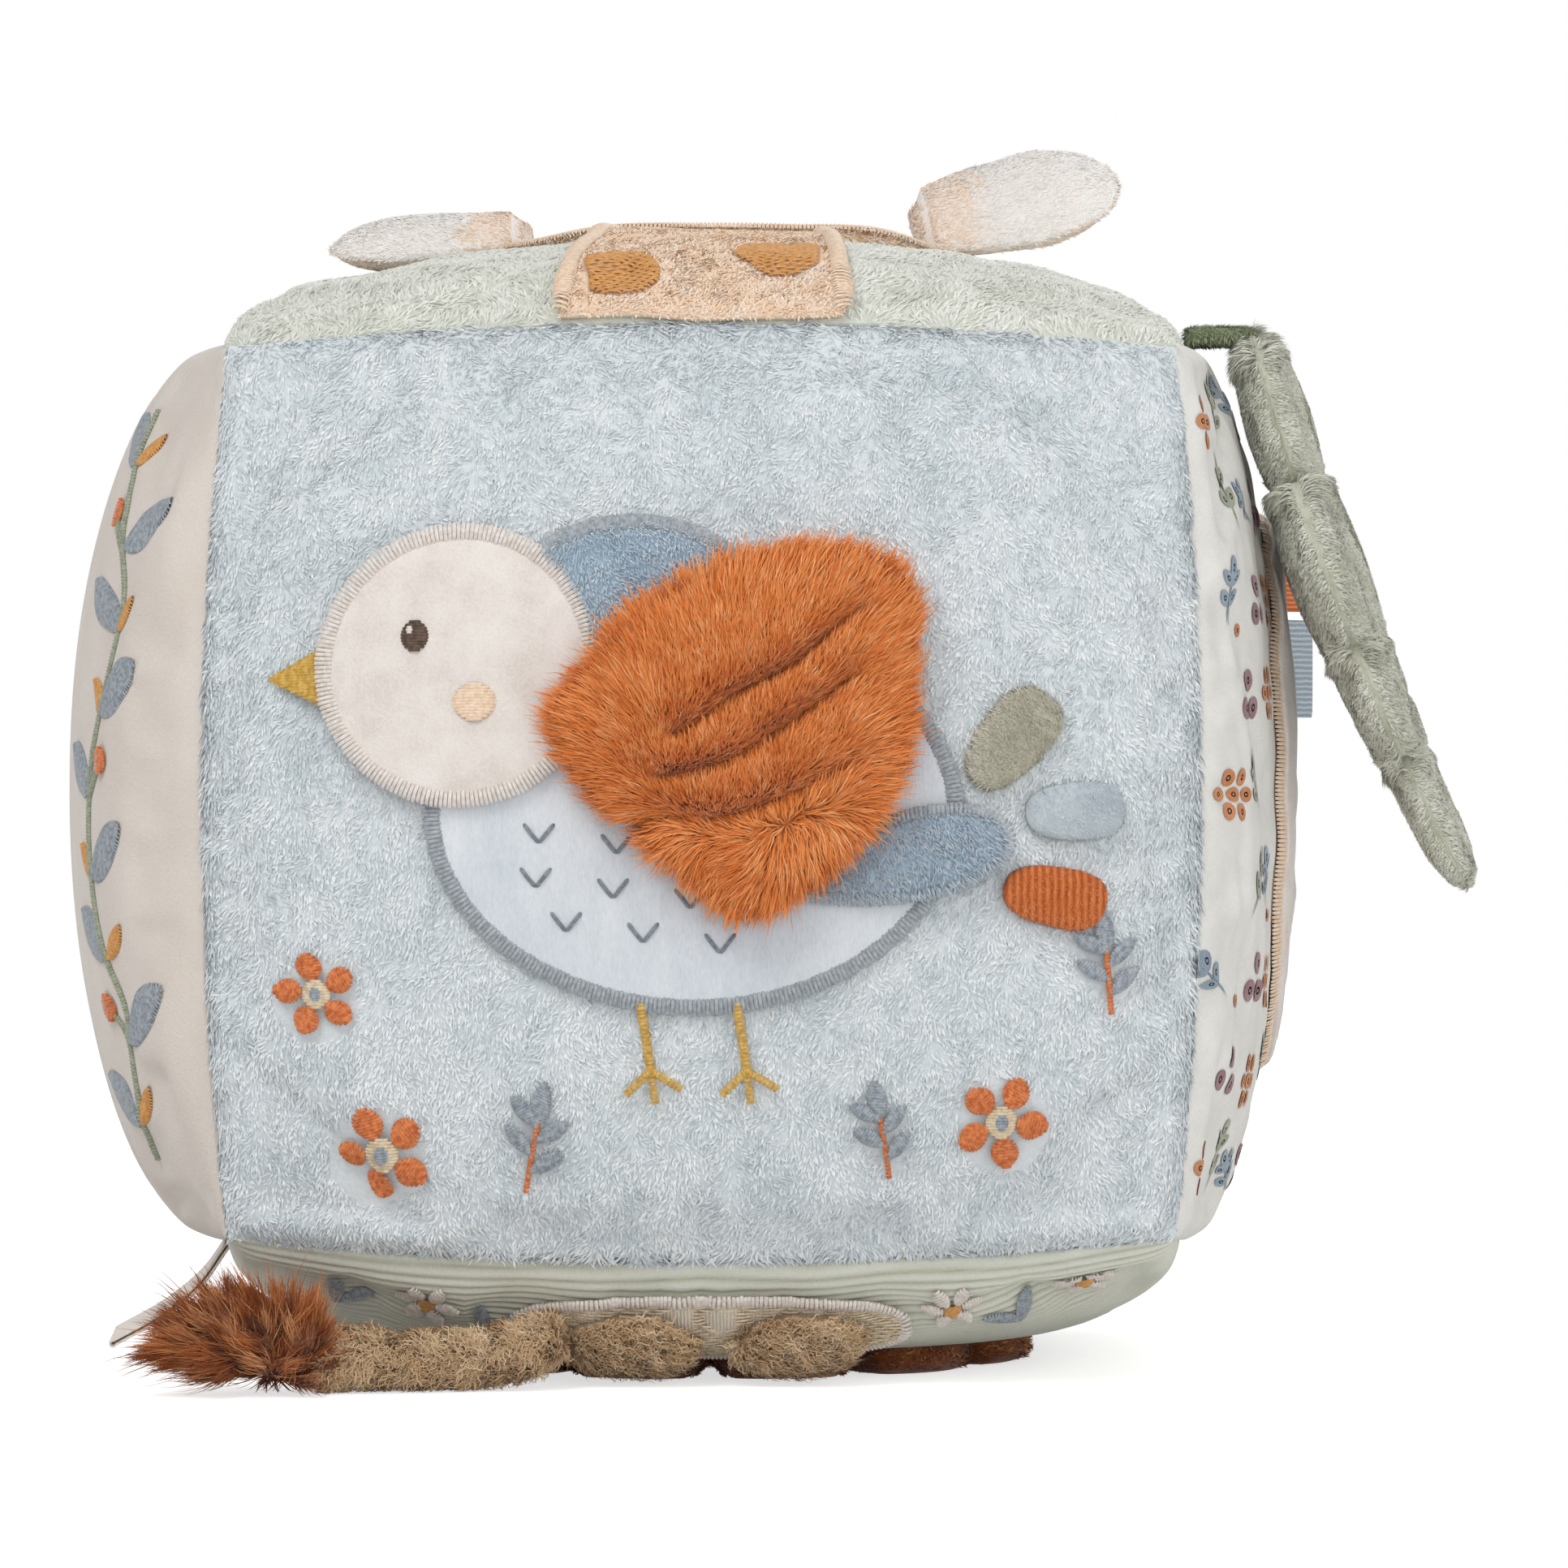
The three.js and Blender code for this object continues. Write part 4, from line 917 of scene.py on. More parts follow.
soft_box("key", (-0.65, -1.2, 1.5), 0.8, 13)
soft_box("fill", (1.3, -1.1, 0.6), 1.2, 5.5)
soft_box("low", (0.1, -1.2, 0.1), 0.8, 3)
soft_box("back", (0.3, 1.5, 1.3), 1.0, 9)


# Stuffed and sewn forms

def puffed(mesh, seam_points, cap):
    """Swells a closed mesh as stuffed cloth that is held along its seam, and caps how far its points move."""
    before = np.empty(len(mesh.vertices) * 3)
    mesh.vertices.foreach_get("co", before)
    after = blown_up(mesh, seam_points, quality=5, mass=0.2, tension_stiffness=25, compression_stiffness=25,
                     shear_stiffness=6, bending_stiffness=0.2, shrink_min=-0.03, uniform_pressure_force=4)
    moved = held_to((after - before).reshape(-1, 3) / MM, cap)
    mesh.vertices.foreach_set("co", (before + moved.ravel() * MM).astype(np.float32))
    mesh.update()
    return mesh


def form_rings(middle, half_across, half_thick, wide, sides, square=2.0):
    """Rings of a stuffed form: a rounded section at each point of its middle line."""
    middle = np.asarray(middle, float)
    along = unit(np.vstack([middle[1] - middle[0], middle[2:] - middle[:-2], middle[-1] - middle[-2]]))
    thick = unit(np.cross(along, np.asarray(wide, float)))
    across = np.cross(thick, along)
    turn = 2 * np.pi * np.arange(sides) / sides
    c, s = np.cos(turn), np.sin(turn)
    reach = (np.abs(c) ** square + np.abs(s) ** square) ** (-1 / square)
    return (middle[:, None]
            + (np.asarray(half_across)[:, None] * c * reach)[..., None] * across[:, None]
            + (np.asarray(half_thick)[:, None] * s * reach)[..., None] * thick[:, None])


def oval(width, height, place=(0, 0), sides=96, square=2.0, turn=0.0):
    """An oval or rounded outline on a panel, counter-clockwise; square is 2 for an oval."""
    t = 2 * np.pi * np.arange(sides) / sides
    c, s = np.cos(t), np.sin(t)
    reach = (np.abs(c) ** square + np.abs(s) ** square) ** (-1 / square)
    spots = np.stack([width / 2 * c * reach, height / 2 * s * reach], -1)
    ct, st = math.cos(turn * DEGREE), math.sin(turn * DEGREE)
    return spots @ np.array([[ct, st], [-st, ct]]) + np.array(place)


def inside(outline, a, b):
    """Which spots lie inside a closed outline."""
    within = np.zeros(np.shape(a), bool)
    for (x0, y0), (x1, y1) in zip(outline, np.roll(outline, -1, 0)):
        crossing = (y0 > b) != (y1 > b)
        if y0 != y1:
            within ^= crossing & (a < (x1 - x0) * (b - y0) / (y1 - y0) + x0)
    return within


def spot_of(panel_name, at):
    """Where points lie on a panel, in millimetres from its middle."""
    panel = PANELS[panel_name]
    return at @ panel["side"], (at - np.array([0, 0, MIDDLE])) @ panel["up"]


UNDER_SHARE = 0.97              # of its outline, how far a pad's underside is turned in


def pad_mesh(name, panel_name, place, outline, lift, thickness, crown, edge_share, rings, relief=None):
    """A pad sewn flat on a panel: a domed top inside its outline, a side wall, and an underside."""
    place, outline = np.array(place, float), np.asarray(outline, float)
    share = np.sin((np.arange(rings) + 1) / rings * np.pi / 2)
    spots = outline[None] * share[:, None, None]
    full = edge_share + (1 - edge_share) * np.sqrt(np.clip(1 - share ** crown, 0, None))
    height = np.broadcast_to((lift + thickness * full)[:, None], spots.shape[:2]).copy()
    if relief is not None:
        height -= relief(spots[..., 0], spots[..., 1]) * (1 - share ** 4)[:, None]
    a, b = spots[..., 0] + place[0], spots[..., 1] + place[1]
    top = on_panel(panel_name, a, b, height)
    foot = np.stack([a[-1], b[-1]])
    low = [on_panel(panel_name, *(foot * share + place[:, None] * (1 - share)), lift)
           for share in (1, UNDER_SHARE)]
    stack = np.concatenate([top, low])
    columns = len(outline)
    peak = on_panel(panel_name, place[:1], place[1:], np.array([
        lift + thickness - (relief(np.zeros(1), np.zeros(1))[0] if relief is not None else 0)]))
    points = np.concatenate([stack.reshape(-1, 3), peak])
    turn = np.arange(columns)
    fan = np.stack([np.full(columns, len(points) - 1), turn, (turn + 1) % columns], -1)
    return make_mesh(name, points, grid_quads(len(stack), columns, wrap=True)[:, ::-1], fan)


# The cover

settle_cover()


def crinkle(a, b):
    """Double gauze that has puckered in the wash: small soft ridges that run mostly upright."""
    spots = np.stack([a, b * 0.35], -1)
    fine = smooth_noise(spots, 2.6, 41) * 0.34
    broad = smooth_noise(np.stack([a, b], -1), 9.0, 42) * 0.45
    return (fine + broad) * np.clip((76 - abs(a)) / 6, 0, 1)


def plush_swell(size, depth, seed):
    """Loose stuffing behind plush: shallow lumps."""
    return lambda a, b: depth * smooth_noise(np.stack([a, b], -1), size, seed)


PANELS["right"]["relief"] = crinkle
PANELS["top"]["relief"] = plush_swell(13, 0.9, 43)
PANELS["front"]["relief"] = plush_swell(24, 0.5, 44)
PANELS["left"]["relief"] = plush_swell(34, 0.7, 45)

WALE_PITCH = 1.3               # of the corduroy, in millimetres
WALE_HEIGHT = 0.5


def wales(a, b):
    """Corduroy: rounded cords that run from side to side, a little uneven."""
    drift = 0.55 * smooth_noise(np.stack([a * 0.4, b], -1), 7.0, 46)
    return WALE_HEIGHT * (np.abs(np.cos(np.pi * (b / WALE_PITCH + drift))) ** 0.7 - 0.5)


SEAM_TURN = 2.2                 # how far a panel's edge is turned in at its seam
WALE_FADE = 1.5                 # from the seam, where the cords die out


def cover_panel(panel_name, columns, rows, material, slot, relief=None, even_rows=False):
    """One cloth panel: the settled skin with its edges turned in at the seams."""
    panel = PANELS[panel_name]
    across = np.sin(np.linspace(-1, 1, columns + 1) * math.pi / 2)
    upward = np.linspace(-1, 1, rows + 1) if even_rows else np.sin(np.linspace(-1, 1, rows + 1) * math.pi / 2)
    u, v = np.meshgrid(across * (1 - SEWN_GAP / panel["half_side"]), upward * (1 - SEWN_GAP / panel["half_up"]))
    at, normal, _ = skin_frame(panel, u, v)
    a, b = u * panel["half_side"], v * panel["half_up"]
    edge = np.minimum(panel["half_side"] - abs(a), panel["half_up"] - abs(b))
    if relief is not None:
        at = at + normal * (relief(a, b) * np.clip(edge / WALE_FADE, 0, 1))[..., None]
    around = np.concatenate([
        np.arange(columns), np.arange(rows) * (columns + 1) + columns,
        rows * (columns + 1) + np.arange(columns, 0, -1), np.arange(rows, 0, -1) * (columns + 1)])
    points = at.reshape(-1, 3)
    edge_points = points[around]
    turned = edge_points + unit(np.array([0, 0, MIDDLE]) - edge_points) * SEAM_TURN
    k = np.arange(len(around))
    after = (k + 1) % len(around)
    rim_quads = np.stack([around[k], len(points) + k, len(points) + after, around[after]], -1)
    node = panel_name + "_panel"
    mesh = make_mesh(node, np.concatenate([points, turned]), grid_quads(rows + 1, columns + 1), rim_quads)
    if relief is not None:
        # the cords' height on the wale map, which the corduroy's colour follows as painted shade in the valleys
        # and a painted highlight on the crowns
        cord = np.concatenate([(relief(a, b) / WALE_HEIGHT + 0.5).ravel(), np.zeros(len(turned))])
        set_map(mesh, "wale", np.stack([cord, cord], -1))
    return add_piece(node + "_cloth", mesh, material, "block", node)


def laid(panel, turn):
    """Directions on a panel, each at its turn in radians."""
    return np.cos(turn)[:, None] * panel["side"] + np.sin(turn)[:, None] * panel["up"]


def combed(panel_name, angle, spread, size, seed):
    """A pile that lies at an angle on a panel, in degrees, and wanders by spread over lumps of size."""
    return lambda at, normal: laid(PANELS[panel_name], (angle + spread * smooth_noise(at, size, seed)) * DEGREE)


def clear_of(panel_name, *outlines):
    """Keeps pile off what is sewn on a panel."""
    def keep(at, normal):
        a, b = spot_of(panel_name, at)
        return ~np.any([inside(outline, a, b) for outline in outlines], axis=0)
    return keep


cover = {name: cover_panel(name, *given) for name, *given in (
    ("front", 120, 120, "blue_plush_ground", "blue_plush"),
    ("top", 130, 130, "sage_plush_ground", "sage_plush"),
    ("left", 130, 130, "cream_velour", "cream_velour"),
    ("back", 110, 110, "cream_velour", "cream_velour"),
    ("right", 170, 170, "printed_muslin", "printed_muslin"),
    ("bottom", 72, 700, "sage_corduroy", "sage_corduroy", wales, True),
)}

# Front: velour patches with satin-stitched edges
BODY_LIFT = PATCH_GAP
BODY_TOP = BODY_LIFT + THIN_CLOTH
UPPER_LIFT = BODY_TOP + PATCH_STEP
UPPER_TOP = UPPER_LIFT + THIN_CLOTH
FLAP_LIFT = UPPER_TOP + PATCH_STEP
EDGE_WIDTH = 2.7                # of the satin stitching

BODY_PLACE, BODY_WIDTH, BODY_HEIGHT = (-1, -3), 78, 58
HEAD_PLACE, HEAD_RADIUS = (-36, 19), 20
BACK_PLACE, BACK_WIDTH, BACK_HEIGHT = (-10, 25), 40, 30
TAIL_PLACE, TAIL_LENGTH, TAIL_WIDTH, TAIL_LEAN = (29, -10), 34, 15, 12
DROP_SIDES = 96

body_outline = oval(BODY_WIDTH, BODY_HEIGHT, BODY_PLACE, 140)
head_outline = oval(2 * HEAD_RADIUS, 2 * HEAD_RADIUS, HEAD_PLACE, 120)


def beside(outline, centre, radius):
    """The outline with its points pushed out of a circle."""
    off = outline - np.array(centre)
    reach = np.linalg.norm(off, axis=1, keepdims=True)
    return np.array(centre) + off * np.maximum(1, radius / reach)


def drop(length, width, place, lean):
    """A drop outline: round at one end and drawn to a blunt point at the other."""
    t = 2 * np.pi * np.arange(DROP_SIDES) / DROP_SIDES
    along = length / 2 * np.cos(t)
    across = width / 2 * np.sin(t) * (1 - (1 - np.cos(t)) / 4)
    c, s = heading(lean)
    return np.stack([along * c - across * s, along * s + across * c], -1) + np.array(place)


back_outline = beside(oval(BACK_WIDTH, BACK_HEIGHT, BACK_PLACE, 110), HEAD_PLACE, HEAD_RADIUS + 0.4)
tail_outline = drop(TAIL_LENGTH, TAIL_WIDTH, TAIL_PLACE, TAIL_LEAN)


def sewn_patch(node, panel_name, place, outline, lift, material, thickness=THIN_CLOTH):
    """A flat cloth patch."""
    mesh = pad_mesh(node, panel_name, place, outline - np.array(place), lift, thickness, crown=8,
                    edge_share=0.7, rings=12)
    return add_piece(node + "_velour", mesh, material, "block", node)


sewn_patch("body_patch", "front", BODY_PLACE, body_outline, BODY_LIFT, "pale_velour")
sewn_patch("head_patch", "front", HEAD_PLACE, head_outline, UPPER_LIFT, "head_velour")
back_patch = sewn_patch("back_patch", "front", BACK_PLACE, back_outline, UPPER_LIFT, "blue_velour_ground")
tail_patch = sewn_patch("tail_patch", "front", TAIL_PLACE, tail_outline, UPPER_LIFT, "blue_velour_ground")
for name, patch, lay, seed, pile in (("back_patch_pile", back_patch, -70, 6, "blue_velour"),
                                     ("tail_patch_pile", tail_patch, -60, 7, "tail_velour")):
    coat(name, patch, combed("front", lay, 35, 4, seed), pile,
         keep=lambda at, normal: normal[:, 1] < -0.6)

Sewing("front", BODY_TOP - 0.3).edge(body_outline, EDGE_WIDTH).make(
    "body_edge_stitching", "grey_thread", "block", "pale_velour")
Sewing("front", UPPER_TOP - 0.2).edge(head_outline, EDGE_WIDTH).make(
    "head_edge_stitching", "cream_thread", "block", "cream_velour")
free_back = back_outline[np.linalg.norm(back_outline - np.array(HEAD_PLACE), axis=1) > HEAD_RADIUS + 0.9]
sweep = np.roll(free_back, -int(np.argmax(np.linalg.norm(np.diff(free_back, axis=0), axis=1))) - 1, 0)
Sewing("front", UPPER_TOP - 0.3).line(sweep, EDGE_WIDTH).make(
    "back_edge_stitching", "grey_thread", "block", "blue_velour")
Sewing("front", UPPER_TOP - 0.3).edge(tail_outline, EDGE_WIDTH * 0.85).make(
    "tail_edge_stitching", "grey_thread", "block", "blue_velour")

# Front embroidery: a plain songbird's beak, eye, cheek, breast and legs
HEAD_ON = UPPER_TOP + 0.05
ON_PLUSH = 1.5                  # over the plush beside the patches
BEAK_ROWS, BEAK_REACH, BEAK_LEAST, BEAK_MIDDLE, BEAK_HEIGHT, BEAK_TAPER = 22, 8.5, 0.8, 17.5, 10, 0.25
beak = Sewing("front", ON_PLUSH)
for row in np.linspace(0, 1, BEAK_ROWS):
    reach = BEAK_REACH * (1 - abs(2 * row - 1) ** 1.2)
    height = BEAK_MIDDLE + (row - 0.5) * BEAK_HEIGHT
    start = HEAD_PLACE[0] - math.sqrt(max(HEAD_RADIUS ** 2 - (height - HEAD_PLACE[1]) ** 2, 0)) - 0.4
    beak.add([start, height], [start - max(reach, BEAK_LEAST), height + (0.5 - row) * reach * BEAK_TAPER])
beak.make("beak_stitching", "mustard_thread", "block", "cream_velour", rise=0.6)
# Each spot's name, thread, place, half width, half height, pitch of its threads, lift, and their width and rise
for name, thread, place, across, up, pitch, lift, width, rise in (
    ("eye", "eye", (-42.5, 23.5), 2.1, 2.3, 0.42, 0.0, THREAD_WIDTH, THREAD_RISE),
    ("eye_light", "cream", (-43.2, 24.4), 0.55, 0.55, 0.35, 0.45, 0.4, 0.3),
    ("cheek", "peach", (-33.5, 13.5), 3.4, 2.8, 0.45, 0.0, THREAD_WIDTH, THREAD_RISE),
):
    Sewing("front", HEAD_ON + lift).disc(place, across, up, pitch).make(
        name + "_stitching", thread + "_thread", "block", "cream_velour", width, rise)

BREAST_FROM, BREAST_NEXT, BREAST_ROW, BREAST_MARK = (-29, -7.5), (11.5, -1.6), (4.5, -6.6), (2.3, 2.9)
breast = Sewing("front", BODY_TOP)
for row, count in enumerate((2, 3, 3)):
    for k in range(count):
        a, b = (start + along * k + down * row for start, along, down in zip(BREAST_FROM, BREAST_NEXT, BREAST_ROW))
        a += 5 if count == 2 else 0
        for lean in (-1, 1):
            breast.add([a, b], [a + lean * BREAST_MARK[0], b + BREAST_MARK[1]])
breast.make("breast_stitching", "dash_thread", "block", "pale_velour", width=0.62, rise=0.35)

legs = Sewing("front", ON_PLUSH)
for hip in (-9.0, 5.5):
    ankle = (hip + 1.5, -41.5)
    legs.line([(hip, -31.6), ankle], 1.5)
    for toe in ((-3.6, -3.4), (0.6, -4.6), (4.4, -2.6)):
        legs.line([ankle, (ankle[0] + toe[0], ankle[1] + toe[1])], 1.3)
legs.make("leg_stitching", "mustard_thread", "block", "pale_velour")

# Front embroidery: five-petalled blossoms and leafy sprigs
BLOSSOMS = [((-58.0, -31.0), 6.4), ((-49.0, -55.0), 7.4), ((46.0, -50.0), 7.0)]
SPRIGS = [((-27.0, -60.0), 78.0, 17.0), ((29.0, -58.0), 100.0, 15.0), ((62.0, -34.0), 96.0, 16.0)]
SPRIG_LEAVES = [(0.18, -1), (0.32, 1), (0.46, -1), (0.58, 1)]       # place along the stem, and which side
SPRIG_LEAF_TURN = 51.5          # degrees between a leaf and its stem
ON_PILE = 1.1                   # embroidery presses the pile flat and lies on it

petals, hearts, dots = (Sewing("front", lift) for lift in (ON_PILE, ON_PILE + 0.15, ON_PILE + 0.5))
covered = [oval(2 * radius + 0.6, 2 * radius + 0.6, place, 24) for place, radius in BLOSSOMS]
for place, radius in BLOSSOMS:
    for k in range(5):
        way = heading(90 + 72 * k + place[0])
        petals.blade(np.array(place) + way * radius * 0.34, np.array(place) + way * radius, radius * 0.62,
                     blunt=0.5, slant=0.1)
    hearts.disc(place, radius * 0.34, radius * 0.34, 0.42)
    dots.disc(place, radius * 0.16, radius * 0.16, 0.38)
petals.make("blossom_stitching", "orange_thread", "block", "blue_plush")
hearts.make("blossom_heart_stitching", "sand_thread", "block", "blue_plush")
dots.make("blossom_dot_stitching", "slate_thread", "block", "blue_plush", rise=0.3)

leaves, stems = Sewing("front", ON_PILE), Sewing("front", ON_PILE)
for place, turn, height in SPRIGS:
    way, cross = axes_at(turn)
    root = np.array(place)
    stems.line([root, root + way * height * 0.62], 0.9)
    leaves.blade(root + way * height * 0.6, root + way * height, 3.0)
    covered.append(oval(height * 1.02, 1.7, root + way * height * 0.5, 20, turn=turn))
    for share, hand in SPRIG_LEAVES:
        base, reach = root + way * height * share, way * 0.62 + cross * hand * 0.78
        leaves.blade(base, base + reach * height * 0.36, 2.5)
        covered.append(oval(height * 0.38, 2.9, base + reach * height * 0.18, 16,
                            turn=turn + hand * SPRIG_LEAF_TURN))
leaves.make("sprig_leaf_stitching", "slate_thread", "block", "blue_plush")
stems.make("sprig_stem_stitching", "orange_thread", "block", "blue_plush")

SEAM_FRINGE = (0.8, 2.5)        # how much longer the pile grows at a seam, and how far in


def seam_fringe(at):
    """Pile is combed out longer along the seams."""
    a, b = spot_of("front", at)
    panel = PANELS["front"]
    off = np.minimum(panel["half_side"] - abs(a), panel["half_up"] - abs(b))
    return 1 + SEAM_FRINGE[0] * np.clip(1 - off / SEAM_FRINGE[1], 0, 1)


coat("front_pile", cover["front"], combed("front", -95, 80, 3.0, 3), "blue_plush",
     keep=clear_of("front", body_outline, head_outline, *covered), shade_spread=0.22,
     length_of=seam_fringe)

# Front: the stuffed fur flap, sewn through in three channels
FLAP_LENGTH, FLAP_THICKNESS, FLAP_PLACE = 57, 8.5, np.array([5, 9.5])
FLAP_CLOTH_SHARE = 0.82         # of the flap's outline; fur makes up the rest
FLAP_NAP = 2.2                  # of its thickness, left for the fur
FLAP_RIM_SHARES = [
    (-0.49, 0.03), (-0.4, -0.16), (-0.2, -0.34), (0, -0.48), (0.12, -0.49), (0.3, -0.33), (0.43, -0.17),
    (0.475, 0.12), (0.5, 0.36), (0.4, 0.47), (0.2, 0.49), (-0.02, 0.42), (-0.25, 0.3),
]
FLAP_CHANNELS = [               # sewn lines, from the flap's middle
    [(-8.7, -1.6), (-0.2, 4.1), (7.7, 8.4), (17.6, 16.9)],
    [(-10.8, -8.0), (-0.2, -5.1), (7.7, -0.1), (16.2, 6.3)],
    [(-11.5, -13.0), (-2.3, -14.0), (7.7, -10.8), (17.6, -5.8)],
]
FLAP_RIM_SEAM = [(24.0, 14.0), (22.5, 1.0), (18.0, -11.0)]
# Each tuft's place, size, lay in degrees and strength
FLAP_TUFTS = [((-13.5, 4.0), 5.5, 118, 2.0), ((14.5, -11.0), 3.5, 120, 0.9), ((3.5, -20.0), 4.0, 150, 1.2)]


def closed_curve(points, steps):
    """A smooth closed line through points."""
    points = np.asarray(points, float)
    return spline(np.roll(points, 1, 0), points, np.roll(points, -1, 0), np.roll(points, -2, 0), steps)


def away_from(route, a, b):
    """How far spots lie from a route of straight spans."""
    nearest = np.full(np.shape(a), np.inf)
    for start, end in zip(np.array(route)[:-1], np.array(route)[1:]):
        along = end - start
        share = np.clip(((a - start[0]) * along[0] + (b - start[1]) * along[1]) / (along @ along), 0, 1)
        nearest = np.minimum(nearest, np.hypot(a - start[0] - share * along[0], b - start[1] - share * along[1]))
    return nearest


channel_routes = [smooth_route([(*spot, 0) for spot in route], 8)[:, :2] for route in FLAP_CHANNELS]


CHANNEL_DEPTH, CHANNEL_WIDTH, RIM_SEAM_SHARE = 3.6, 1.6, 0.45


def off_channels(a, b):
    """How far spots lie from the nearest channel."""
    return np.min([away_from(route, a, b) for route in channel_routes], axis=0)


def channel_depth(a, b):
    """The sewn channels, and a shallower line along the flap's free edge."""
    off = off_channels(a, b) / CHANNEL_WIDTH
    rim = away_from(FLAP_RIM_SEAM, a, b) / CHANNEL_WIDTH
    return np.maximum(CHANNEL_DEPTH * np.exp(-off * off), RIM_SEAM_SHARE * CHANNEL_DEPTH * np.exp(-rim * rim))


flap_rim = closed_curve(FLAP_RIM_SHARES, 8) * FLAP_LENGTH * FLAP_CLOTH_SHARE
flap_mesh = pad_mesh("wing_flap", "front", FLAP_PLACE, flap_rim, FLAP_LIFT, FLAP_THICKNESS - FLAP_NAP, crown=3,
                     edge_share=0.35, rings=26, relief=channel_depth)
flap_cloth = add_piece("wing_flap_cloth", flap_mesh, "orange_fur_ground", "flap", "wing_flap")


def on_flap(at):
    """Where points lie from the flap's middle, and how near its rim they are, 1 at the rim."""
    p = np.stack(spot_of("front", at), -1) - FLAP_PLACE
    angles = np.arctan2(flap_rim[:, 1], flap_rim[:, 0])
    order = np.argsort(angles)
    reach = np.interp(np.arctan2(p[:, 1], p[:, 0]), angles[order], np.linalg.norm(flap_rim, axis=1)[order],
                      period=2 * np.pi)
    return p, np.linalg.norm(p, axis=1) / reach


LOOSE_FROM, LOOSE_SLOPE, LOOSE_FADE = 14.5, 0.28, 3     # a slanting line under the lowest channel
FLAP_FAN = 1.6                  # degrees that the fur turns for each millimetre across
FLAP_LEAST, FLAP_LOOSE = 0.42, 0.72     # of its full length, amid the channels and under them
CHANNEL_SHORN, CHANNEL_SHORN_WIDTH = 0.72, 1.1


def below_channels(p):
    """1 in the loose fur under the lowest channel, 0 above it."""
    return np.clip((-p[:, 1] - LOOSE_FROM + LOOSE_SLOPE * p[:, 0]) / LOOSE_FADE, 0, 1)


def flap_flow(at, normal):
    """Short fur that fans up across the channels, out over the rim, and lies tousled in the loose tufts."""
    p, rim = on_flap(at)
    fan = (90 - FLAP_FAN * p[:, 0]) * DEGREE
    way = np.stack([np.cos(fan), np.sin(fan)], -1)
    low = below_channels(p)[:, None]
    way = way * (1 - low) + low * np.stack([-0.5 + 0.02 * p[:, 0], np.full(len(p), -0.8)], -1)
    for centre, size, lay, strength in FLAP_TUFTS:
        near = np.exp(-(np.linalg.norm(p - np.array(centre), axis=1, keepdims=True) / size) ** 2)
        way = way + near * strength * (heading(lay) + 0.11 * (p - np.array(centre)))
    way = way + unit(p) * (2.6 * np.clip((rim - 0.7) / 0.3, 0, 1) ** 1.5)[:, None]
    way = way + 0.34 * np.stack([smooth_noise(at, 1.5, 51), smooth_noise(at, 1.5, 52)], -1)
    way = way + 0.3 * np.stack([smooth_noise(at, 5.0, 54), smooth_noise(at, 5.0, 55)], -1)
    return way[:, :1] * PANELS["front"]["side"] + way[:, 1:] * PANELS["front"]["up"] + normal * 0.01


def flap_length_at(at):
    """Fur is shorn in the channels, short between them, and long at the rim and in the tufts."""
    p, rim = on_flap(at)
    share = FLAP_LEAST + (1 - FLAP_LEAST) * np.clip((rim - 0.72) / 0.28, 0, 1)
    share = np.maximum(share, FLAP_LOOSE * below_channels(p))
    for centre, size, lay, strength in FLAP_TUFTS:
        near = np.exp(-(np.linalg.norm(p - np.array(centre), axis=1) / size) ** 2)
        share = np.maximum(share, (0.5 + 0.18 * strength) * near)
    shorn = CHANNEL_SHORN * np.exp(-(off_channels(*p.T) / CHANNEL_SHORN_WIDTH) ** 2)
    return share * (1 - shorn) * (1 + 0.15 * smooth_noise(at, 3, 53))


for name, lump in (("wing_flap_fur", 2.0), ("wing_flap_underfur", 1.2)):
    coat(name, flap_cloth, flap_flow, "orange_fur",
         keep=lambda at, normal: normal[:, 1] < 0.3, shade_size=lump, shade_spread=0.16, stray=0.17, steps=4,
         wave=0.12, length_of=flap_length_at)

# Front: three folded cloth tags
CLOTH_TAG_THICKNESS = 2.4
TAG_WALE_PITCH = 1.15
TAGS = {
    "tail_tag_khaki": {"from": (41.2, 1.4), "length": 17.0, "width": 10.6, "lean": 50, "root": 0.72},
    "tail_tag_pale": {"from": (48.6, -3.2), "length": 14.5, "width": 9.4, "lean": 3, "root": 0.8},
    "tail_tag_orange": {"from": (45.5, -14.2), "length": 15.5, "width": 9.8, "lean": -12, "root": 0.78},
}


def tag_mesh(node, relief=None):
    """A folded tag: narrower at its sewn root, round at its tip, softly filled."""
    tag = TAGS[node]
    outline = oval(tag["length"], tag["width"], sides=72, square=2.7)
    outline[:, 1] *= tag["root"] + (1 - tag["root"]) * (outline[:, 0] / tag["length"] + 0.5) ** 0.7
    c, s = heading(tag["lean"])
    turned = outline @ np.array([[c, s], [-s, c]])
    middle = np.array(tag["from"]) + np.array([c, s]) * tag["length"] / 2
    turned_relief = None
    if relief is not None:
        turned_relief = lambda a, b: relief(a * c + b * s, -a * s + b * c)
    return pad_mesh(node, "front", middle, turned, PATCH_GAP, CLOTH_TAG_THICKNESS, crown=2.6, edge_share=0.45,
                    rings=22, relief=turned_relief)


def cloth_tag(node, material, body, relief=None):
    return add_piece(node + "_cloth", tag_mesh(node, relief), material, body, node)


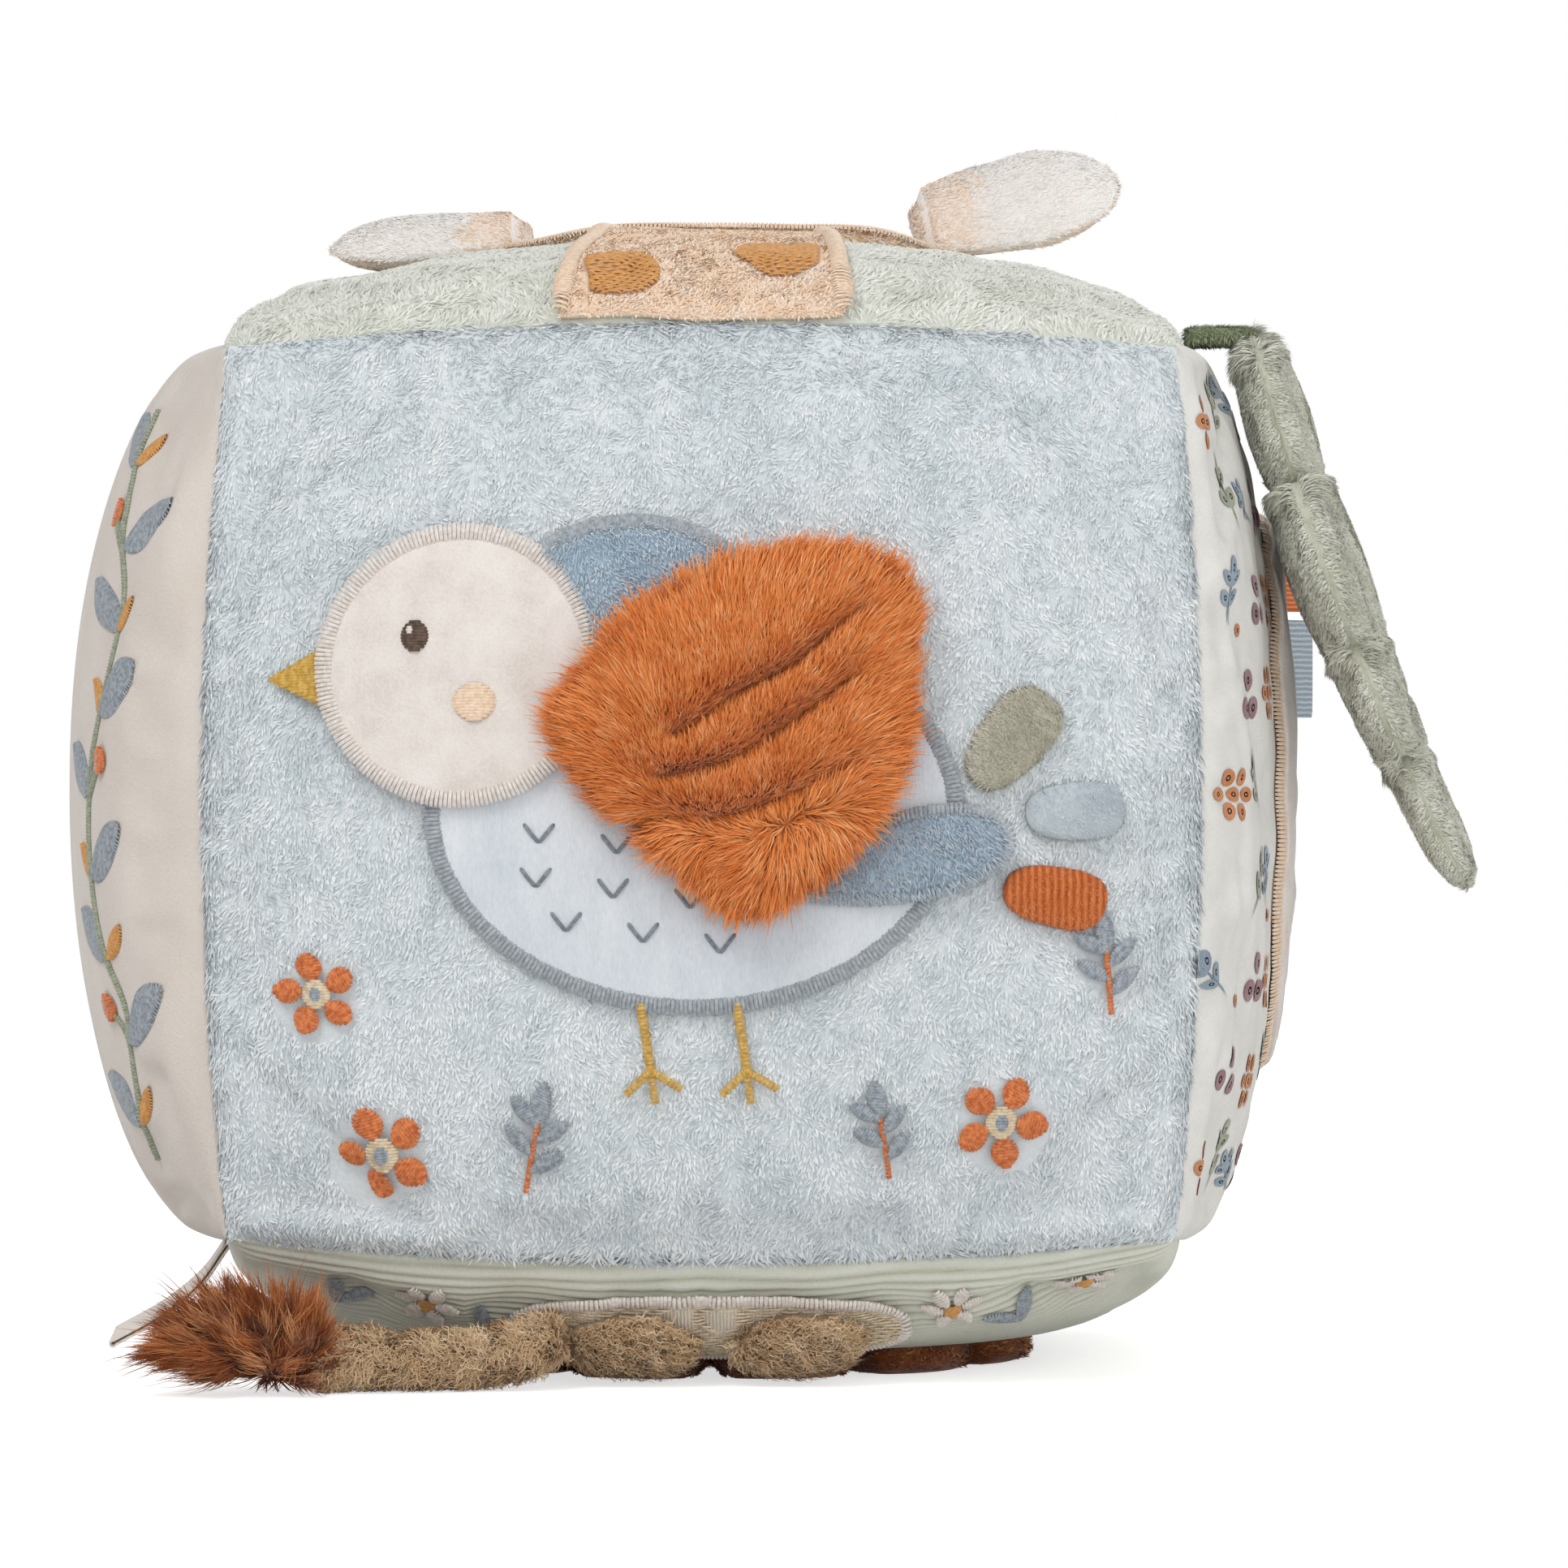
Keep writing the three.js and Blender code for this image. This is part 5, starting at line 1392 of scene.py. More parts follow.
khaki_cloth = cloth_tag("tail_tag_khaki", "khaki_velour_ground", "khaki_tag")
pale_cloth = cloth_tag("tail_tag_pale", "pale_tag_cloth", "pale_tag")
orange_cloth = cloth_tag("tail_tag_orange", "orange_corduroy", "orange_tag",
                         relief=lambda a, b: 0.16 * np.cos(2 * np.pi * a / TAG_WALE_PITCH))
coat("khaki_tag_pile", khaki_cloth, combed("front", 150, 40, 3, 8), "khaki_velour",
     shade_spread=0.2)
coat("pale_tag_nap", pale_cloth, combed("front", -60, 60, 3, 9), "pale_tag_nap")
coat("orange_tag_nap", orange_cloth, combed("front", -80, 30, 3, 10), "orange_nap")

# Top: peach fleece patches on the sage plush
NECK_ROOT, NECK_TIP, NECK_LENGTH, NECK_TURN, NECK_MIDDLE = 45, 33, 62, 2, -42.6
CROWN_WIDTH, CROWN_DEPTH, CROWN_PLACE = 68, 50, (2, 15)
CROWN_TOP = PATCH_GAP + PILE_CLOTH
NECK_TO_CROWN = 1.2             # and back to the crown's edge
NECK_TO_SEAM = 2.3              # the neck's fleece runs on into the front seam


def straight_outline(corners, steps):
    """A closed outline of straight sides, with steps points along each."""
    corners = np.asarray(corners, float)
    share = (np.arange(steps) / steps)[:, None]
    return np.concatenate([a + (b - a) * share for a, b in zip(corners, np.roll(corners, -1, 0))])


neck_outline = straight_outline([
    (-NECK_ROOT / 2, -NECK_LENGTH / 2 - NECK_TO_SEAM), (NECK_ROOT / 2, -NECK_LENGTH / 2 - NECK_TO_SEAM),
    (NECK_TURN + NECK_TIP / 2, NECK_LENGTH / 2 + NECK_TO_CROWN),
    (NECK_TURN - NECK_TIP / 2, NECK_LENGTH / 2 + NECK_TO_CROWN)], 26)
neck_outline[:, 1] += NECK_MIDDLE
crown_outline = oval(CROWN_WIDTH, CROWN_DEPTH, CROWN_PLACE, 130, 2.6)
fleeces = [sewn_patch(node, "top", place, outline, PATCH_GAP, "peach_plush_ground", thickness)
           for node, place, outline, thickness in (
               ("neck_patch", (0, NECK_MIDDLE), neck_outline, THIN_CLOTH),
               ("crown_patch", CROWN_PLACE, crown_outline, PILE_CLOTH))]


def curls(panel_name, size, seed):
    """A pile that lies in small whorls."""
    return lambda at, normal: laid(PANELS[panel_name], 1.4 * smooth_noise(at, size, seed))


# Two ovals of solid embroidery on the neck: place, width and height
NECK_OVALS = [((-13.5, -67.2), 14.5, 14.0), ((13.5, -60.5), 17.0, 15.5)]
NECK_OVAL_REACH = 18.8          # how near an oval comes to the strip's side edge
sewn_ovals = [oval(width, height, place, 40) for place, width, height in NECK_OVALS]
for outline in sewn_ovals:
    outline[:, 0] = np.clip(outline[:, 0], -NECK_OVAL_REACH, NECK_OVAL_REACH)
off_ovals = clear_of("top", *sewn_ovals)
for cloth, name in zip(fleeces, ("neck_fleece", "crown_fleece")):
    coat(name, cloth, curls("top", 1.8, 21), "peach_plush",
         keep=lambda at, normal: (normal[:, 2] > -0.3) & off_ovals(at, normal), shade_size=2.5, shade_spread=0.13,
         stray=1.0)
neck_front, neck_back = NECK_MIDDLE - NECK_LENGTH / 2 - NECK_TO_SEAM, NECK_MIDDLE + NECK_LENGTH / 2
for hand in (-1, 1):
    edge = np.linspace((hand * NECK_ROOT / 2, neck_front + 0.3), (NECK_TURN + hand * NECK_TIP / 2, neck_back), 50)
    Sewing("top", PATCH_GAP + THIN_CLOTH + 0.3).line(edge, EDGE_WIDTH).make(
        "neck_edge_stitching", "peach_thread", "block", "peach_plush", rise=0.7)
Sewing("top", CROWN_TOP + 0.2).edge(crown_outline, EDGE_WIDTH).make(
    "crown_edge_stitching", "peach_thread", "block", "peach_plush", rise=0.7)
ovals = Sewing("top", PATCH_GAP + THIN_CLOTH + 0.3)
for outline in sewn_ovals:
    filled(ovals, outline, 0.5, 3.4)
ovals.make("neck_oval_stitching", "ochre_thread", "block", "peach_plush", rise=0.5)

coat("top_pile", cover["top"], combed("top", 80, 80, 3.4, 12), "sage_plush",
     keep=clear_of("top", neck_outline, crown_outline), shade_spread=0.16)

# Two stuffed ears: cream fleece in front, peach behind, sewn round the rim
EAR_THICKNESS, EAR_FLATTER = 10, 0.94
EAR_SINK = 1.4                  # into the crown's fleece
EAR_BEND = 4.0                  # from the root, over which the ear bends when it is lifted
EAR_ROOT_SHARES = (0.62, 0.72)  # of the full width and thickness, at the root
EAR_FULLEST = 0.58              # of the length, from the root
EAR_RINGS, EAR_SIDES = 36, 64
EAR_SWELL = 0.4                 # how far stuffing moves its cloth
EAR_CLOSING = 0.1               # of the length, over which the root draws to its seam
EAR_PEACH = 0.3                 # of the length, from the root, in peach
EARS = {
    "ear_left": {"root": (-29, 18), "length": 33, "width": 25, "rise": -4, "tilt": 15, "outward": -1,
                 "cream": ((0, -0.8, 0.6), -0.1)},
    "ear_right": {"root": (32, 18), "length": 35, "width": 25, "rise": 12, "tilt": 40, "outward": 1,
                  "cream": ((0, -0.5, 0.87), 0.0)},
}


def edge_seam(rings, sides):
    """The points of a stack of rings that its seam holds: both edges and the first ring."""
    return [*range(0, rings * sides, sides), *range(sides // 2, rings * sides, sides), *range(sides)]


def ear_profile(share, root):
    """The ear's width or thickness along its length, from the root's share of it to a round tip."""
    past = np.clip((share - EAR_FULLEST) / (1 - EAR_FULLEST), 0, 1)
    rising = root + (1 - root) * np.sin(np.pi / 2 * np.clip(share / EAR_FULLEST, 0, 1))
    whole = np.where(share > EAR_FULLEST, np.sqrt(np.clip(1 - past ** 2, 0, None)), rising)
    return whole * np.clip(share / EAR_CLOSING, 0.12, 1) ** 0.5


def stuffed_ear(node):
    """An ear and its two coats of fleece, sewn down at the root."""
    ear = EARS[node]
    rise, tilt = ear["rise"] * DEGREE, ear["tilt"] * DEGREE
    root_rise = math.hypot(EAR_THICKNESS / 2 * EAR_ROOT_SHARES[1] * math.cos(tilt),
                           ear["width"] / 2 * EAR_ROOT_SHARES[0] * math.sin(tilt))
    root = panel_spot("top", *ear["root"], CROWN_TOP + SEAM_GAP + root_rise - EAR_SINK)
    along = np.array([ear["outward"] * math.cos(rise), 0, math.sin(rise)])
    wide = np.array([0, math.cos(tilt), math.sin(tilt)])
    share = np.sin(np.linspace(0, 1, EAR_RINGS) * np.pi / 2 * 0.985)
    rings = form_rings(root + along * share[:, None] * ear["length"],
                       ear["width"] / 2 * ear_profile(share, EAR_ROOT_SHARES[0]),
                       EAR_THICKNESS / 2 * ear_profile(share, EAR_ROOT_SHARES[1]) * EAR_FLATTER, wide, EAR_SIDES,
                       1.8)
    mesh = puffed(ring_stack(node, rings), edge_seam(EAR_RINGS, EAR_SIDES), EAR_SWELL)
    bend = ("block", "left_ear" if ear["outward"] < 0 else "right_ear", (root - along) * MM,
            (root + along * EAR_BEND) * MM)
    piece = add_piece(node + "_fleece", mesh, "ear_plush_ground", bend, node)
    face, limit = np.array(ear["cream"][0]), ear["cream"][1]

    def in_cream(at, normal):
        from_root = ((at - root) @ along / ear["length"]
                     + 0.1 * smooth_noise(at, 5, 64) + 0.1 * smooth_noise(at, 0.4, 65))
        return (normal @ face > limit) & (from_root > EAR_PEACH)

    for side in ("cream", "peach"):
        coat(f"{node}_{side}_pile", piece,
             lambda at, normal: along + 0.55 * wander(at, 2.6, 61), "ear_" + side,
             "ear_fleece", keep=lambda at, normal: in_cream(at, normal) == (side == "cream"),
             shade_spread=0.14, body=bend)


for node in EARS:
    stuffed_ear(node)

# Right side: a padded patch, and the leaf on its strap
SIDE_PAD_WIDTH, SIDE_PAD_HEIGHT, SIDE_PAD_THICKNESS = 76, 88, 2.8
pad_outline = oval(SIDE_PAD_WIDTH, SIDE_PAD_HEIGHT, (0, 0), 160, 2.6)
side_mesh = pad_mesh("side_pad", "right", (0, 0), pad_outline, PATCH_GAP, SIDE_PAD_THICKNESS, crown=6,
                     edge_share=0.5, rings=34,
                     relief=lambda a, b: 0.35 + 0.35 * smooth_noise(np.stack([a, b], -1), 9, 71))
add_piece("side_pad_velour", side_mesh, "head_velour", "block", "side_pad")


def rim_height(a, b):
    """Where a sewn edge sits: on the shoulder of the side pad, and down on the muslin outside it."""
    return np.where(inside(pad_outline * 0.97, a, b), PATCH_GAP + SIDE_PAD_THICKNESS * 0.6, SEAM_GAP)


Sewing("right", rim_height).edge(pad_outline * 0.98, 4.2).make(
    "side_pad_edge_stitching", "peach_thread", "block", "pale_velour", rise=0.8)


def folded_band(name, route, wide, width, thickness):
    """A ribbon that follows a route: a flat closed band, rounded along both edges."""
    halves = (np.full(len(route), x / 2) for x in (width, thickness))
    return ring_stack(name, form_rings(route, *halves, wide, 16, 5.0))


STRAP_WIDTH, STRAP_THICKNESS, STRAP_ARCH = 12, 2.4, 1.3
LEAF_PLACE, LEAF_HANG, LEAF_STAND_OFF = -34, 0.5, 12.3
LEAF_LENGTH, LEAF_HALF_WIDTH, LEAF_THICKNESS = 92, 27, 13
LEAF_SPLAY, LEAF_BOW, LEAF_YAW = 21.5, 2.5, 6
LEAF_LOBE_ENDS = (0.24, 0.53, 0.74, 1.0)
LEAF_LOBE_WIDTHS = (0.66, 1, 0.84, 0.56)
LEAF_LOBE_BODIES = (0.9, 1.04, 0.84, 0.66)
LEAF_CAP = 0.034                # of the length, the round top that stands over the strap's end
LEAF_SHOULDER = 0.04            # of the length, where that round top reaches the full width
LEAF_NOTCH = 0.26
LEAF_STEP_NOTCH = 0.2           # of the thickness, where one lobe steps to the next

sideways = np.array([0.0, 1.0, 0.0])
out_and_up = unit(np.array([1.0, 0, 1.0]))
upper_seam = panel_point(PANELS["right"], np.array([LEAF_PLACE / HALF[1]]), np.array([1.0]))[0]
leaf_top = upper_seam + np.array([LEAF_STAND_OFF, 0, -LEAF_HANG])
leaf_way = np.array([math.sin(LEAF_SPLAY * DEGREE), 0, -math.cos(LEAF_SPLAY * DEGREE)])
leaf_in = np.array([leaf_way[2], 0, -leaf_way[0]])

strap_from = upper_seam + out_and_up * (STRAP_THICKNESS / 2 + 2 * SEAM_GAP)
strap_to = leaf_top - leaf_way * SEAM_GAP
strap_route = smooth_route([strap_from, (strap_from + strap_to) / 2 + out_and_up * STRAP_ARCH,
                            strap_to - leaf_way * STRAP_ARCH, strap_to + leaf_way * 2.0], 10)
strap = add_piece("leaf_strap_velour",
                  folded_band("leaf_strap", strap_route, sideways, STRAP_WIDTH, STRAP_THICKNESS),
                  "green_velour", "hanging_leaf", "leaf_strap")
coat("leaf_strap_nap", strap, lambda at, normal: leaf_way + 0.6 * wander(at, 2, 75),
     "green_nap")


def leaf_shape(share):
    """The leaf's half width and half thickness at shares of its length."""
    lobe = np.clip(np.searchsorted(LEAF_LOBE_ENDS, share, side="right"), 0, 3)
    starts = np.array([0.0, *LEAF_LOBE_ENDS[:-1]])
    ends = np.array(LEAF_LOBE_ENDS)
    within = (share - starts[lobe]) / (ends - starts)[lobe]
    bulge = np.sqrt(np.clip(np.sin(np.pi * within), 0, None))
    before = np.maximum(lobe - 1, 0)
    mix = np.clip(within * 2, 0, 1)

    def level(values):
        values = np.array(values)
        return (values[before] + values[lobe]) / 2 * (1 - mix) + values[lobe] * mix

    closing = np.where((lobe == 3) & (within > 0.5), np.clip(1 - ((within - 0.5) / 0.5) ** 5, 0.02, 1), 1.0)
    rounding = np.clip((LEAF_SHOULDER - share) / (LEAF_SHOULDER + LEAF_CAP), 0, 0.995)
    opening = np.sqrt(np.clip(1 - rounding ** 2, 0, 1))
    tip = np.sqrt(closing) * opening
    half_width = LEAF_HALF_WIDTH * level(LEAF_LOBE_WIDTHS) * (1 - LEAF_NOTCH * (1 - bulge)) * tip
    half_body = LEAF_THICKNESS / 2 * level(LEAF_LOBE_BODIES) * (1 - LEAF_STEP_NOTCH * (1 - bulge)) * tip
    return half_width, half_body


LEAF_ROWS, LEAF_SIDES, LEAF_SWELL = 130, 96, 0.4
LEAF_PILE = PILES["leaf_pile"][1]
leaf_wide = np.array([math.sin(LEAF_YAW * DEGREE), math.cos(LEAF_YAW * DEGREE), 0])
leaf_face = unit(np.cross(leaf_way, leaf_wide))


def leaf_middle(share):
    """The leaf's middle line, which bows in towards the block."""
    share = np.asarray(share)[..., None]
    return leaf_top + leaf_way * share * LEAF_LENGTH + leaf_in * LEAF_BOW * np.sin(np.pi * share)


def leaf_share_at(at):
    return np.clip((at - leaf_top) @ leaf_way / LEAF_LENGTH, 0, 1)


def leaf_off(at):
    """How far points stand off the leaf's middle plane, outwards."""
    return (at - leaf_middle(leaf_share_at(at))) @ leaf_face


leaf_share = np.concatenate([
    np.linspace(-LEAF_CAP, LEAF_SHOULDER, 10)[:-1], np.linspace(LEAF_SHOULDER, 0.999, LEAF_ROWS - 9)])
leaf_half_width, leaf_half_body = leaf_shape(leaf_share)
leaf_rings = form_rings(leaf_middle(leaf_share), leaf_half_width - LEAF_PILE * 0.5,
                        np.maximum(leaf_half_body - LEAF_PILE * 0.6, 0.4), leaf_wide, LEAF_SIDES, 2.2)
leaf_mesh = puffed(ring_stack("leaf", leaf_rings), edge_seam(LEAF_ROWS, LEAF_SIDES), LEAF_SWELL)
leaf_cloth = add_piece("leaf_cloth", leaf_mesh, "leaf_plush_ground", "hanging_leaf", "leaf")


def leaf_flow(at, normal):
    """Pile that runs down the leaf, and away from the seam round its rim."""
    return leaf_way * 0.5 + leaf_face * np.sign(leaf_off(at))[:, None] * 0.9 + 0.5 * wander(at, 3, 81)


def leaf_pile_length(at):
    """Pile stands longest just past each step between lobes, and is shorn close on the outer face."""
    share = leaf_share_at(at)
    near = np.max([np.exp(-((share - end - 0.012) / 0.02) ** 2) for end in (0, *LEAF_LOBE_ENDS[:-1])], axis=0)
    return (0.6 + 0.9 * near) * np.where(leaf_off(at) > 2.6, 0.6, 1.0)


def off_leaf_seam(at, normal):
    """Leaves the seam round the leaf's rim bare."""
    return abs(leaf_off(at) + 0.5 * smooth_noise(at, 2.2, 85)) > 0.28


coat("leaf_pile", leaf_cloth, leaf_flow, "leaf_plush",
     keep=off_leaf_seam, length_of=leaf_pile_length, shade_size=4.0, shade_spread=0.16)

# Right side: two ribbon tags, each folded on itself
RIBBON_LENGTH, RIBBON_THICKNESS, RIBBON_FLARE = 15, 1.8, 50
RIBBON_LOOP, RIBBON_CLOTH = 1.6, 0.6            # between a loop's two layers, and the thickness of one
RIBBONS = [("orange", 36.6, 12), ("blue", 21, 16.5)]    # colour, height above the panel's middle, and width


def folded_loop(name, route, wide, width, spread, cloth):
    """A ribbon that runs out along a route, turns over in a round fold at its end and comes back."""
    route = smooth_route(route, 6)
    along = unit(np.vstack([route[1] - route[0], route[2:] - route[:-2], route[-1] - route[-2]]))
    off = unit(np.cross(along, wide)) * spread / 2
    turn = np.linspace(-np.pi / 2, np.pi / 2, 9)[1:-1, None]
    fold = route[-1] + along[-1] * spread / 2 * np.cos(turn) + off[-1] * np.sin(turn)
    return folded_band(name, np.vstack([route - off, fold, (route + off)[::-1]]), wide, width, cloth)


for colour, up, width in RIBBONS:
    node, ribbon = "side_tag_" + colour, colour + "_ribbon"
    root = panel_spot("right", SIDE_PAD_WIDTH / 2 + RIBBON_THICKNESS, up, SEAM_GAP + RIBBON_THICKNESS / 2)
    way = np.array([math.sin(RIBBON_FLARE * DEGREE), math.cos(RIBBON_FLARE * DEGREE), 0])
    route = [root, root + way * RIBBON_LENGTH / 2, root + way * (RIBBON_LENGTH - RIBBON_LOOP / 2)]
    loop = folded_loop(node, route, np.array([0, 0, 1.0]), width, RIBBON_LOOP, RIBBON_CLOTH)
    add_piece(node + "_ribbon", loop, ribbon, ribbon, node)

# Right side: the muslin's small print of sprigs and dots
PRINT_LIFT = 0.22
PRINT_RINGS = (1.0, 0.7, 0.36)
PRINT_PITCH = (14.0, 15.0)


def print_shapes(name, panel_name, outlines, material):
    """Flat printed shapes that follow the cloth beneath them."""
    spots, quads, fans, first = [], [], [], 0
    for outline in outlines:
        middle, count = outline.mean(0), len(outline)
        spots += [middle + (outline - middle) * share for share in PRINT_RINGS] + [middle[None]]
        quads.append(grid_quads(len(PRINT_RINGS), count, wrap=True, first=first)[:, ::-1])
        turn = np.arange(count)
        last = first + (len(PRINT_RINGS) - 1) * count
        fans.append(np.stack([np.full(count, last + count), last + turn, last + (turn + 1) % count], -1))
        first += len(PRINT_RINGS) * count + 1
    spots = np.concatenate(spots)
    points = on_panel(panel_name, *spots.T, PRINT_LIFT)
    add_piece(name, make_mesh(name, points, np.concatenate(quads), np.concatenate(fans)), material, "block")


def printed_sprig(place, turn, size):
    """Outlines of a leafy sprig: a tip leaf and two pairs beside a thin stem."""
    way = heading(turn)
    shapes = [oval(size, 0.5, place + way * size * 0.5, 8, turn=turn),
              oval(size * 0.42, size * 0.2, place + way * size, 14, turn=turn)]
    for share in (0.35, 0.68):
        for lean in (turn - 42, turn + 42):
            at = place + way * size * share + heading(lean) * size * 0.2
            shapes.append(oval(size * 0.38, size * 0.17, at, 14, turn=lean))
    return shapes


def printed_bloom(place, radius):
    """Outlines of a small round blossom with a loose ring of petals."""
    return [oval(radius * 0.62, radius * 0.62, place, 14)] + [
        oval(radius * 0.72, radius * 0.6, place + heading(turn) * radius * 0.78, 14, turn=turn)
        for turn in range(0, 360, 60)]


printed = {"sage": [], "rust": [], "slate": [], "plum": []}
for row, b in enumerate(np.arange(-60, 64, PRINT_PITCH[1])):
    for column, a in enumerate(np.arange(-70.5, 72, PRINT_PITCH[0])):
        at = np.array([a + (row % 2) * PRINT_PITCH[0] / 2, b]) + chance.uniform(-1.0, 1.0, 2)
        if abs(at[0]) > 72 or inside(pad_outline * 1.12, *at):
            continue
        kind, lean = (row * 3 + column) % 4, 90 + 30 * ((row + column) % 3 - 1)
        if kind == 0:
            printed["rust"] += printed_bloom(at, 4.2)
        elif kind == 1:
            printed["sage"] += printed_sprig(at - (0, 4), lean, 11.0)
        elif kind == 2:
            printed["slate"] += printed_sprig(at - (0, 3), lean + 25, 9.5)
            printed["rust"].append(oval(2.2, 2.2, at + (4.6, -3.6), 14))
        else:
            printed["plum"] += [oval(3.8, 3.6, at + off, 14) for off in ((0, 2.4), (-2.7, -1.9), (2.7, -1.9))]
for colour, outlines in printed.items():
    print_shapes("muslin_print_" + colour, "right", outlines, "print_" + colour)

# Underside: a stitched patch and two curly pads, seen under the front seam
CHEST_WIDTH, CHEST_HEIGHT, CHEST_PLACE = 62, 14, (1, 66)
CURLY_PAD_WIDTH, CURLY_PAD_HEIGHT, CURLY_PAD_THICKNESS = 19, 11, 4
CURLY_PADS = {"pad_left": (-11, 65.5), "pad_right": (15, 65.5)}

chest_outline = oval(CHEST_WIDTH, CHEST_HEIGHT, CHEST_PLACE, 120, 2.6)
sewn_patch("chest_patch", "bottom", CHEST_PLACE, chest_outline, PATCH_GAP, "cream_stitch")
filled(Sewing("bottom", PATCH_GAP + THIN_CLOTH - 0.1), chest_outline, 0.55, 3.6).make(
    "chest_fill_stitching", "sand_thread", "block", "cream_stitch", width=0.5, rise=0.25)
Sewing("bottom", PATCH_GAP + THIN_CLOTH - 0.1).edge(chest_outline, 1.8).make(
    "chest_edge_stitching", "cream_thread", "block", "cream_stitch")

for node, place in CURLY_PADS.items():
    outline = oval(CURLY_PAD_WIDTH, CURLY_PAD_HEIGHT, place, 60)
    mesh = pad_mesh(node, "bottom", place, outline - np.array(place), UPPER_LIFT, CURLY_PAD_THICKNESS * 0.8,
                    crown=2.4, edge_share=0.35, rings=16)
    piece = add_piece(node + "_ground", mesh, "curly_ground", "block", node)
    coat(node + "_curls", piece, curls("bottom", 1.6, 22), "curly_pile", "pad_curls",
         steps=5, wave=0.45, shade_size=2.0, keep=lambda at, normal: normal[:, 2] < 0.5)

# Underside: the ring of velour petals that the block stands on, and its curly middle
RING_RADIUS, RING_DIP, RING_HOLE, RING_LOBES, RING_PLACE = 52, 7, 30, 12, (1, 5)
RING_CREASE_DEPTH, RING_CREASE_WIDTH = 3.2, 2.4     # between two petals
RING_EDGE = 0.35                # of its thickness, at the ring's inner and outer edge


def ring_mesh(name, columns, rows):
    """Petals side by side round a hole: each swells between its creases and ends in a round lobe."""
    turn = 2 * np.pi * np.arange(columns) / columns
    lobe = turn / (2 * np.pi) * RING_LOBES % 1
    reach = RING_RADIUS - RING_DIP * (1 - np.sqrt(np.abs(np.sin(np.pi * lobe))))
    share = 0.5 - 0.5 * np.cos(np.linspace(0, 1, rows) * np.pi)
    radius = (RING_HOLE + SEAM_GAP) + (reach - RING_HOLE - SEAM_GAP)[None] * share[:, None]
    off = np.minimum(lobe, 1 - lobe)[None] * 2 * np.pi / RING_LOBES * radius / RING_CREASE_WIDTH
    full = (RING_EDGE + (1 - RING_EDGE) * np.sqrt(np.clip(1 - np.abs(2 * share - 1) ** 5, 0, None)))[:, None]
    height = SEAM_GAP + RING_THICKNESS * full - RING_CREASE_DEPTH * np.exp(-off * off)
    angle = turn - np.pi / 2
    a = RING_PLACE[0] + radius * np.cos(angle)
    b = RING_PLACE[1] + radius * np.sin(angle)
    face = on_panel("bottom", a, b, np.maximum(height, SEAM_GAP + 0.2))
    back = on_panel("bottom", a[[0, -1]], b[[0, -1]], SEAM_GAP)
    face[..., 2] = np.maximum(face[..., 2], 0.05)
    stack = np.concatenate([back[:1], face, back[1:]])
    return make_mesh(name, stack.reshape(-1, 3), grid_quads(len(stack), columns, wrap=True)[:, ::-1])


ring_cloth = add_piece("petal_ring_cloth", ring_mesh("petal_ring", 360, 26), "brown_velour_ground", "block",
                       "petal_ring")


def ring_flow(at, normal):
    """Nap that is brushed outwards over the petals."""
    away = at - np.array([RING_PLACE[0], -RING_PLACE[1], 0])
    away[:, 2] = 0
    return unit(away) + 0.5 * wander(at, 4, 91)


coat("petal_ring_nap", ring_cloth, ring_flow, "brown_velour",
     keep=lambda at, normal: (at[:, 2] > 0.6) | (normal[:, 2] > -0.8), shade_size=4.0)
middle_outline = oval(2 * RING_HOLE - 0.6, 2 * RING_HOLE - 0.6, (0, 0), 96)
middle_mesh = pad_mesh("petal_centre", "bottom", RING_PLACE, middle_outline, SEAM_GAP, RING_THICKNESS - 1.2,
                       crown=6, edge_share=0.3, rings=20)
middle_cloth = add_piece("petal_centre_ground", middle_mesh, "curly_ground", "block",
                         "petal_centre")
coat("petal_centre_curls", middle_cloth, curls("bottom", 1.8, 23), "curly_pile",
     steps=4, wave=0.4, shade_size=2.5, keep=lambda at, normal: normal[:, 2] < 0.3)

# Underside: the curly tail and its fur tuft lie on the table
TAIL_RADIUS, TAIL_ROOT_SHARE, TAIL_ROOT, TAIL_CLEAR = 4.7, 0.7, (-23, 69.5), 0.4
TAIL_BEND, TAIL_TIP = (-32, -74), (-58, -79)
TUFT_LENGTH, TUFT_WIDTH, TUFT_HEIGHT = 25, 17, 13
TUFT_SHARES = (0.5, 0.72, 0.9, 1, 0.94, 0.7, 0.3)
TUFT_GROUND = (0.82, 0.55)      # of its length and width; hair makes up the rest
TAIL_PILE = 1.5                 # of the radius, left for the curls
LOWEST_ROOT = 1.6               # of the tail's curls and hairs

tail_height = TAIL_RADIUS + TAIL_CLEAR
tail_start = panel_spot("bottom", *TAIL_ROOT, UPPER_LIFT + TAIL_RADIUS * TAIL_ROOT_SHARE)
tail_route = smooth_route([tail_start, (*TAIL_BEND, tail_height), (*TAIL_TIP, tail_height)], 26)
tail_radius = (TAIL_RADIUS - TAIL_PILE) * np.clip(
    TAIL_ROOT_SHARE + (1 - TAIL_ROOT_SHARE) * np.linspace(0, 6, len(tail_route)), 0, 1)
tail_rings = form_rings(tail_route, tail_radius, tail_radius, sideways, 40)
tail_rings += unit(tail_rings - tail_route[:, None]) * 0.7 * smooth_noise(tail_rings, 3.4, 96)[..., None]
tail_ground = add_piece("tail_tube_ground", ring_stack("tail_tube", tail_rings), "curly_ground", "tail",
                        "tail_tube")
tail_way = unit(tail_route[-1] - tail_route[-3])


def tail_flow(at, normal):
    """Curls that wander round the tail and along it."""
    swirl = np.cross(normal, tail_way)
    turn = 2.4 * smooth_noise(at, 2.2, 95)[:, None]
    return np.cos(turn) * tail_way + np.sin(turn) * swirl


